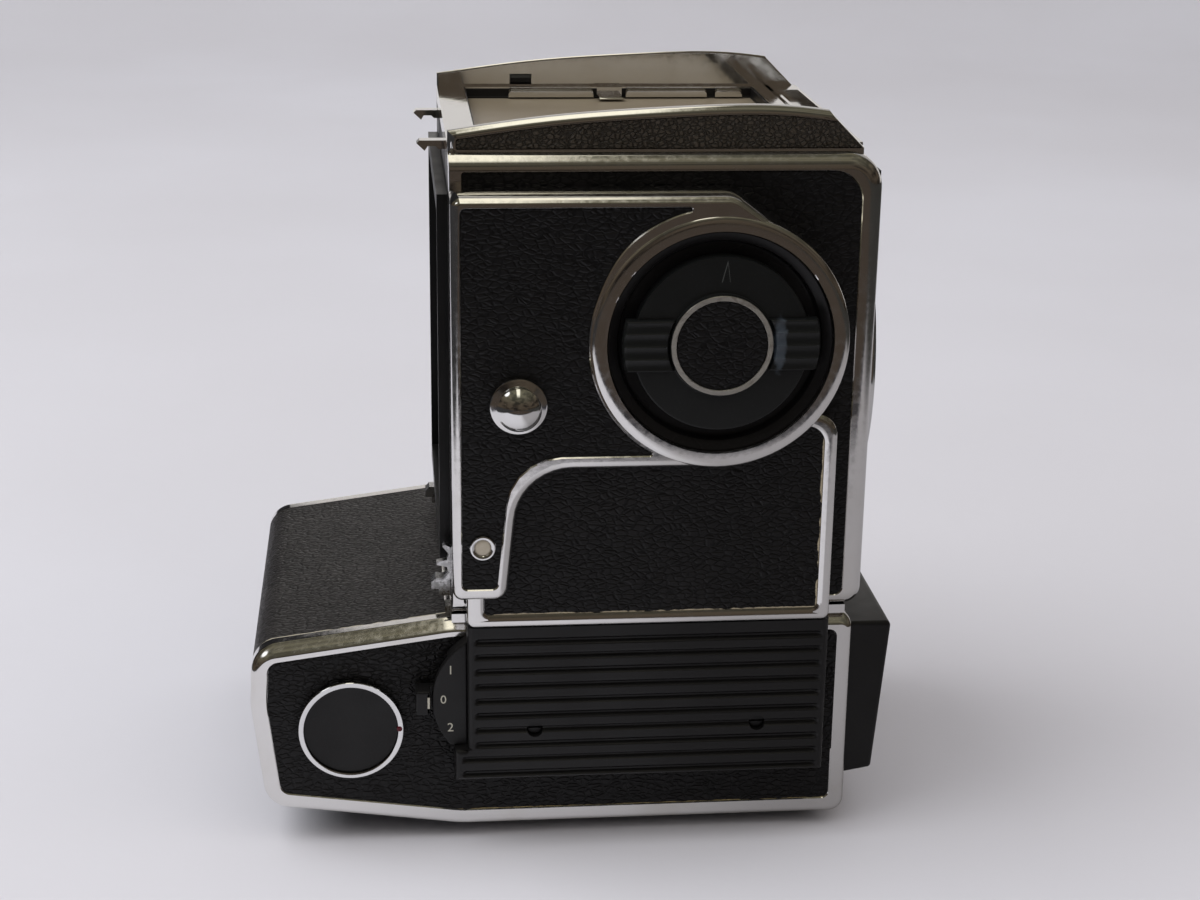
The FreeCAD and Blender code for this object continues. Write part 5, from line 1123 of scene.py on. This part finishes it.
grid = sweep_paper(-1.6, 0.9, 0.6, 2.4, 2.2)
quads = grid_quads(np.arange(grid.size // 3).reshape(grid.shape[:2]))
paper_mesh = bpy.data.meshes.new("paper_sweep")
paper_mesh.from_pydata(grid.reshape(-1, 3).tolist(), [], quads.tolist())
paper_mesh.shade_smooth()
paper_mesh.materials.append(paper)
floor = in_scene("paper_sweep", paper_mesh)
print("paper faces:", len(quads))

# %% [markdown]
# Light. A wide soft lamp above and to the left, a weaker warm one on the right, and a surround that is dim at
# the horizon and pale overhead. A picture of a room could be wrapped round instead. Metal shows its
# surroundings, so rays that leave a glossy surface meet a dim, uneven room instead, with one bright pane
# overhead in two strips and a small window high on the left. The lamps themselves don't show in it.

# %% Lamps
MIDDLE = Vector((0, 0, 0.06))


def soft_lamp(name, place, size, power, colour):
    """Square area lamp that faces the camera body."""
    lamp = in_scene(name, bpy.data.lights.new(name, "AREA"))
    lamp.data.size = size
    lamp.data.energy = power
    lamp.data.color = colour
    lamp.location = place
    lamp.visible_glossy = False
    aim = MIDDLE - Vector(place)
    lamp.rotation_mode = "QUATERNION"
    lamp.rotation_quaternion = aim.to_track_quat("-Z", "Y")


soft_lamp("window_side", (-0.95, -0.05, 1.3), 1.4, 18, (0.97, 0.98, 1.0))
soft_lamp("room_side", (0.9, -0.8, 1.1), 1.5, 3, (1.0, 0.80, 0.60))
print("lamps: window_side and room_side")

# %% The room
room = bpy.data.worlds.new("room")
bpy.context.scene.world = room
room.use_nodes = True
direction = add(room, "ShaderNodeTexCoord").outputs["Generated"]
way = add(room, "ShaderNodeSeparateXYZ", {0: direction}).outputs


def room_mix(share, low, high, first, second):
    """Two colours, turned into each other while share goes from low to high."""
    return blend_colours(room, ramp(room, share, low, high), first, second)


def pane_edge(axis, dark, bright):
    """1 inside a bright pane, 0 beyond its edge on one side."""
    return ramp(room, way[axis], dark, bright)


overhead = times(room, pane_edge("Z", 0.70, 0.80), pane_edge("X", -0.165, -0.10))
front_strip = times(room, pane_edge("X", 0.105, 0.05), pane_edge("Y", -0.75, -0.35))
rear_strip = times(room, pane_edge("X", 0.15, 0.09), pane_edge("Y", 0.12, 0.32))
either_strip = add(room, "ShaderNodeMath", {0: front_strip, 1: rear_strip}, operation="MAXIMUM").outputs[0]
bright_pane = times(room, overhead, either_strip)
uneven = noise(room, 2.4, 3.0, stretched(room, direction, (1.0, 1.0, 2.2)))
low_room = room_mix(uneven, 0.35, 0.65, (0.016, 0.013, 0.011), (0.085, 0.066, 0.048))
high_room = room_mix(uneven, 0.35, 0.65, (0.07, 0.065, 0.045), (0.17, 0.155, 0.105))
dim_room = room_mix(way["Z"], 0.2, 0.95, low_room, high_room)
seen_in_metal = room_mix(bright_pane, 0.0, 1.0, dim_room, (1.3, 1.23, 1.0))
from_side_window = distance_to(room, direction, (-0.66, -0.08, 0.745))
seen_in_metal = room_mix(from_side_window, 0.20, 0.12, seen_in_metal, (1.5, 1.5, 1.5))
ambient = room_mix(way["Z"], 0.25, 1.0, (0.04, 0.04, 0.042), (1.09, 1.09, 1.11))
in_reflection = add(room, "ShaderNodeLightPath").outputs["Is Glossy Ray"]
background = room.node_tree.nodes["Background"]
surround = blend_colours(room, in_reflection, ambient, seen_in_metal)
room.node_tree.links.new(surround, background.inputs["Color"])
background.inputs["Strength"].default_value = 1.0
print("surround ready")
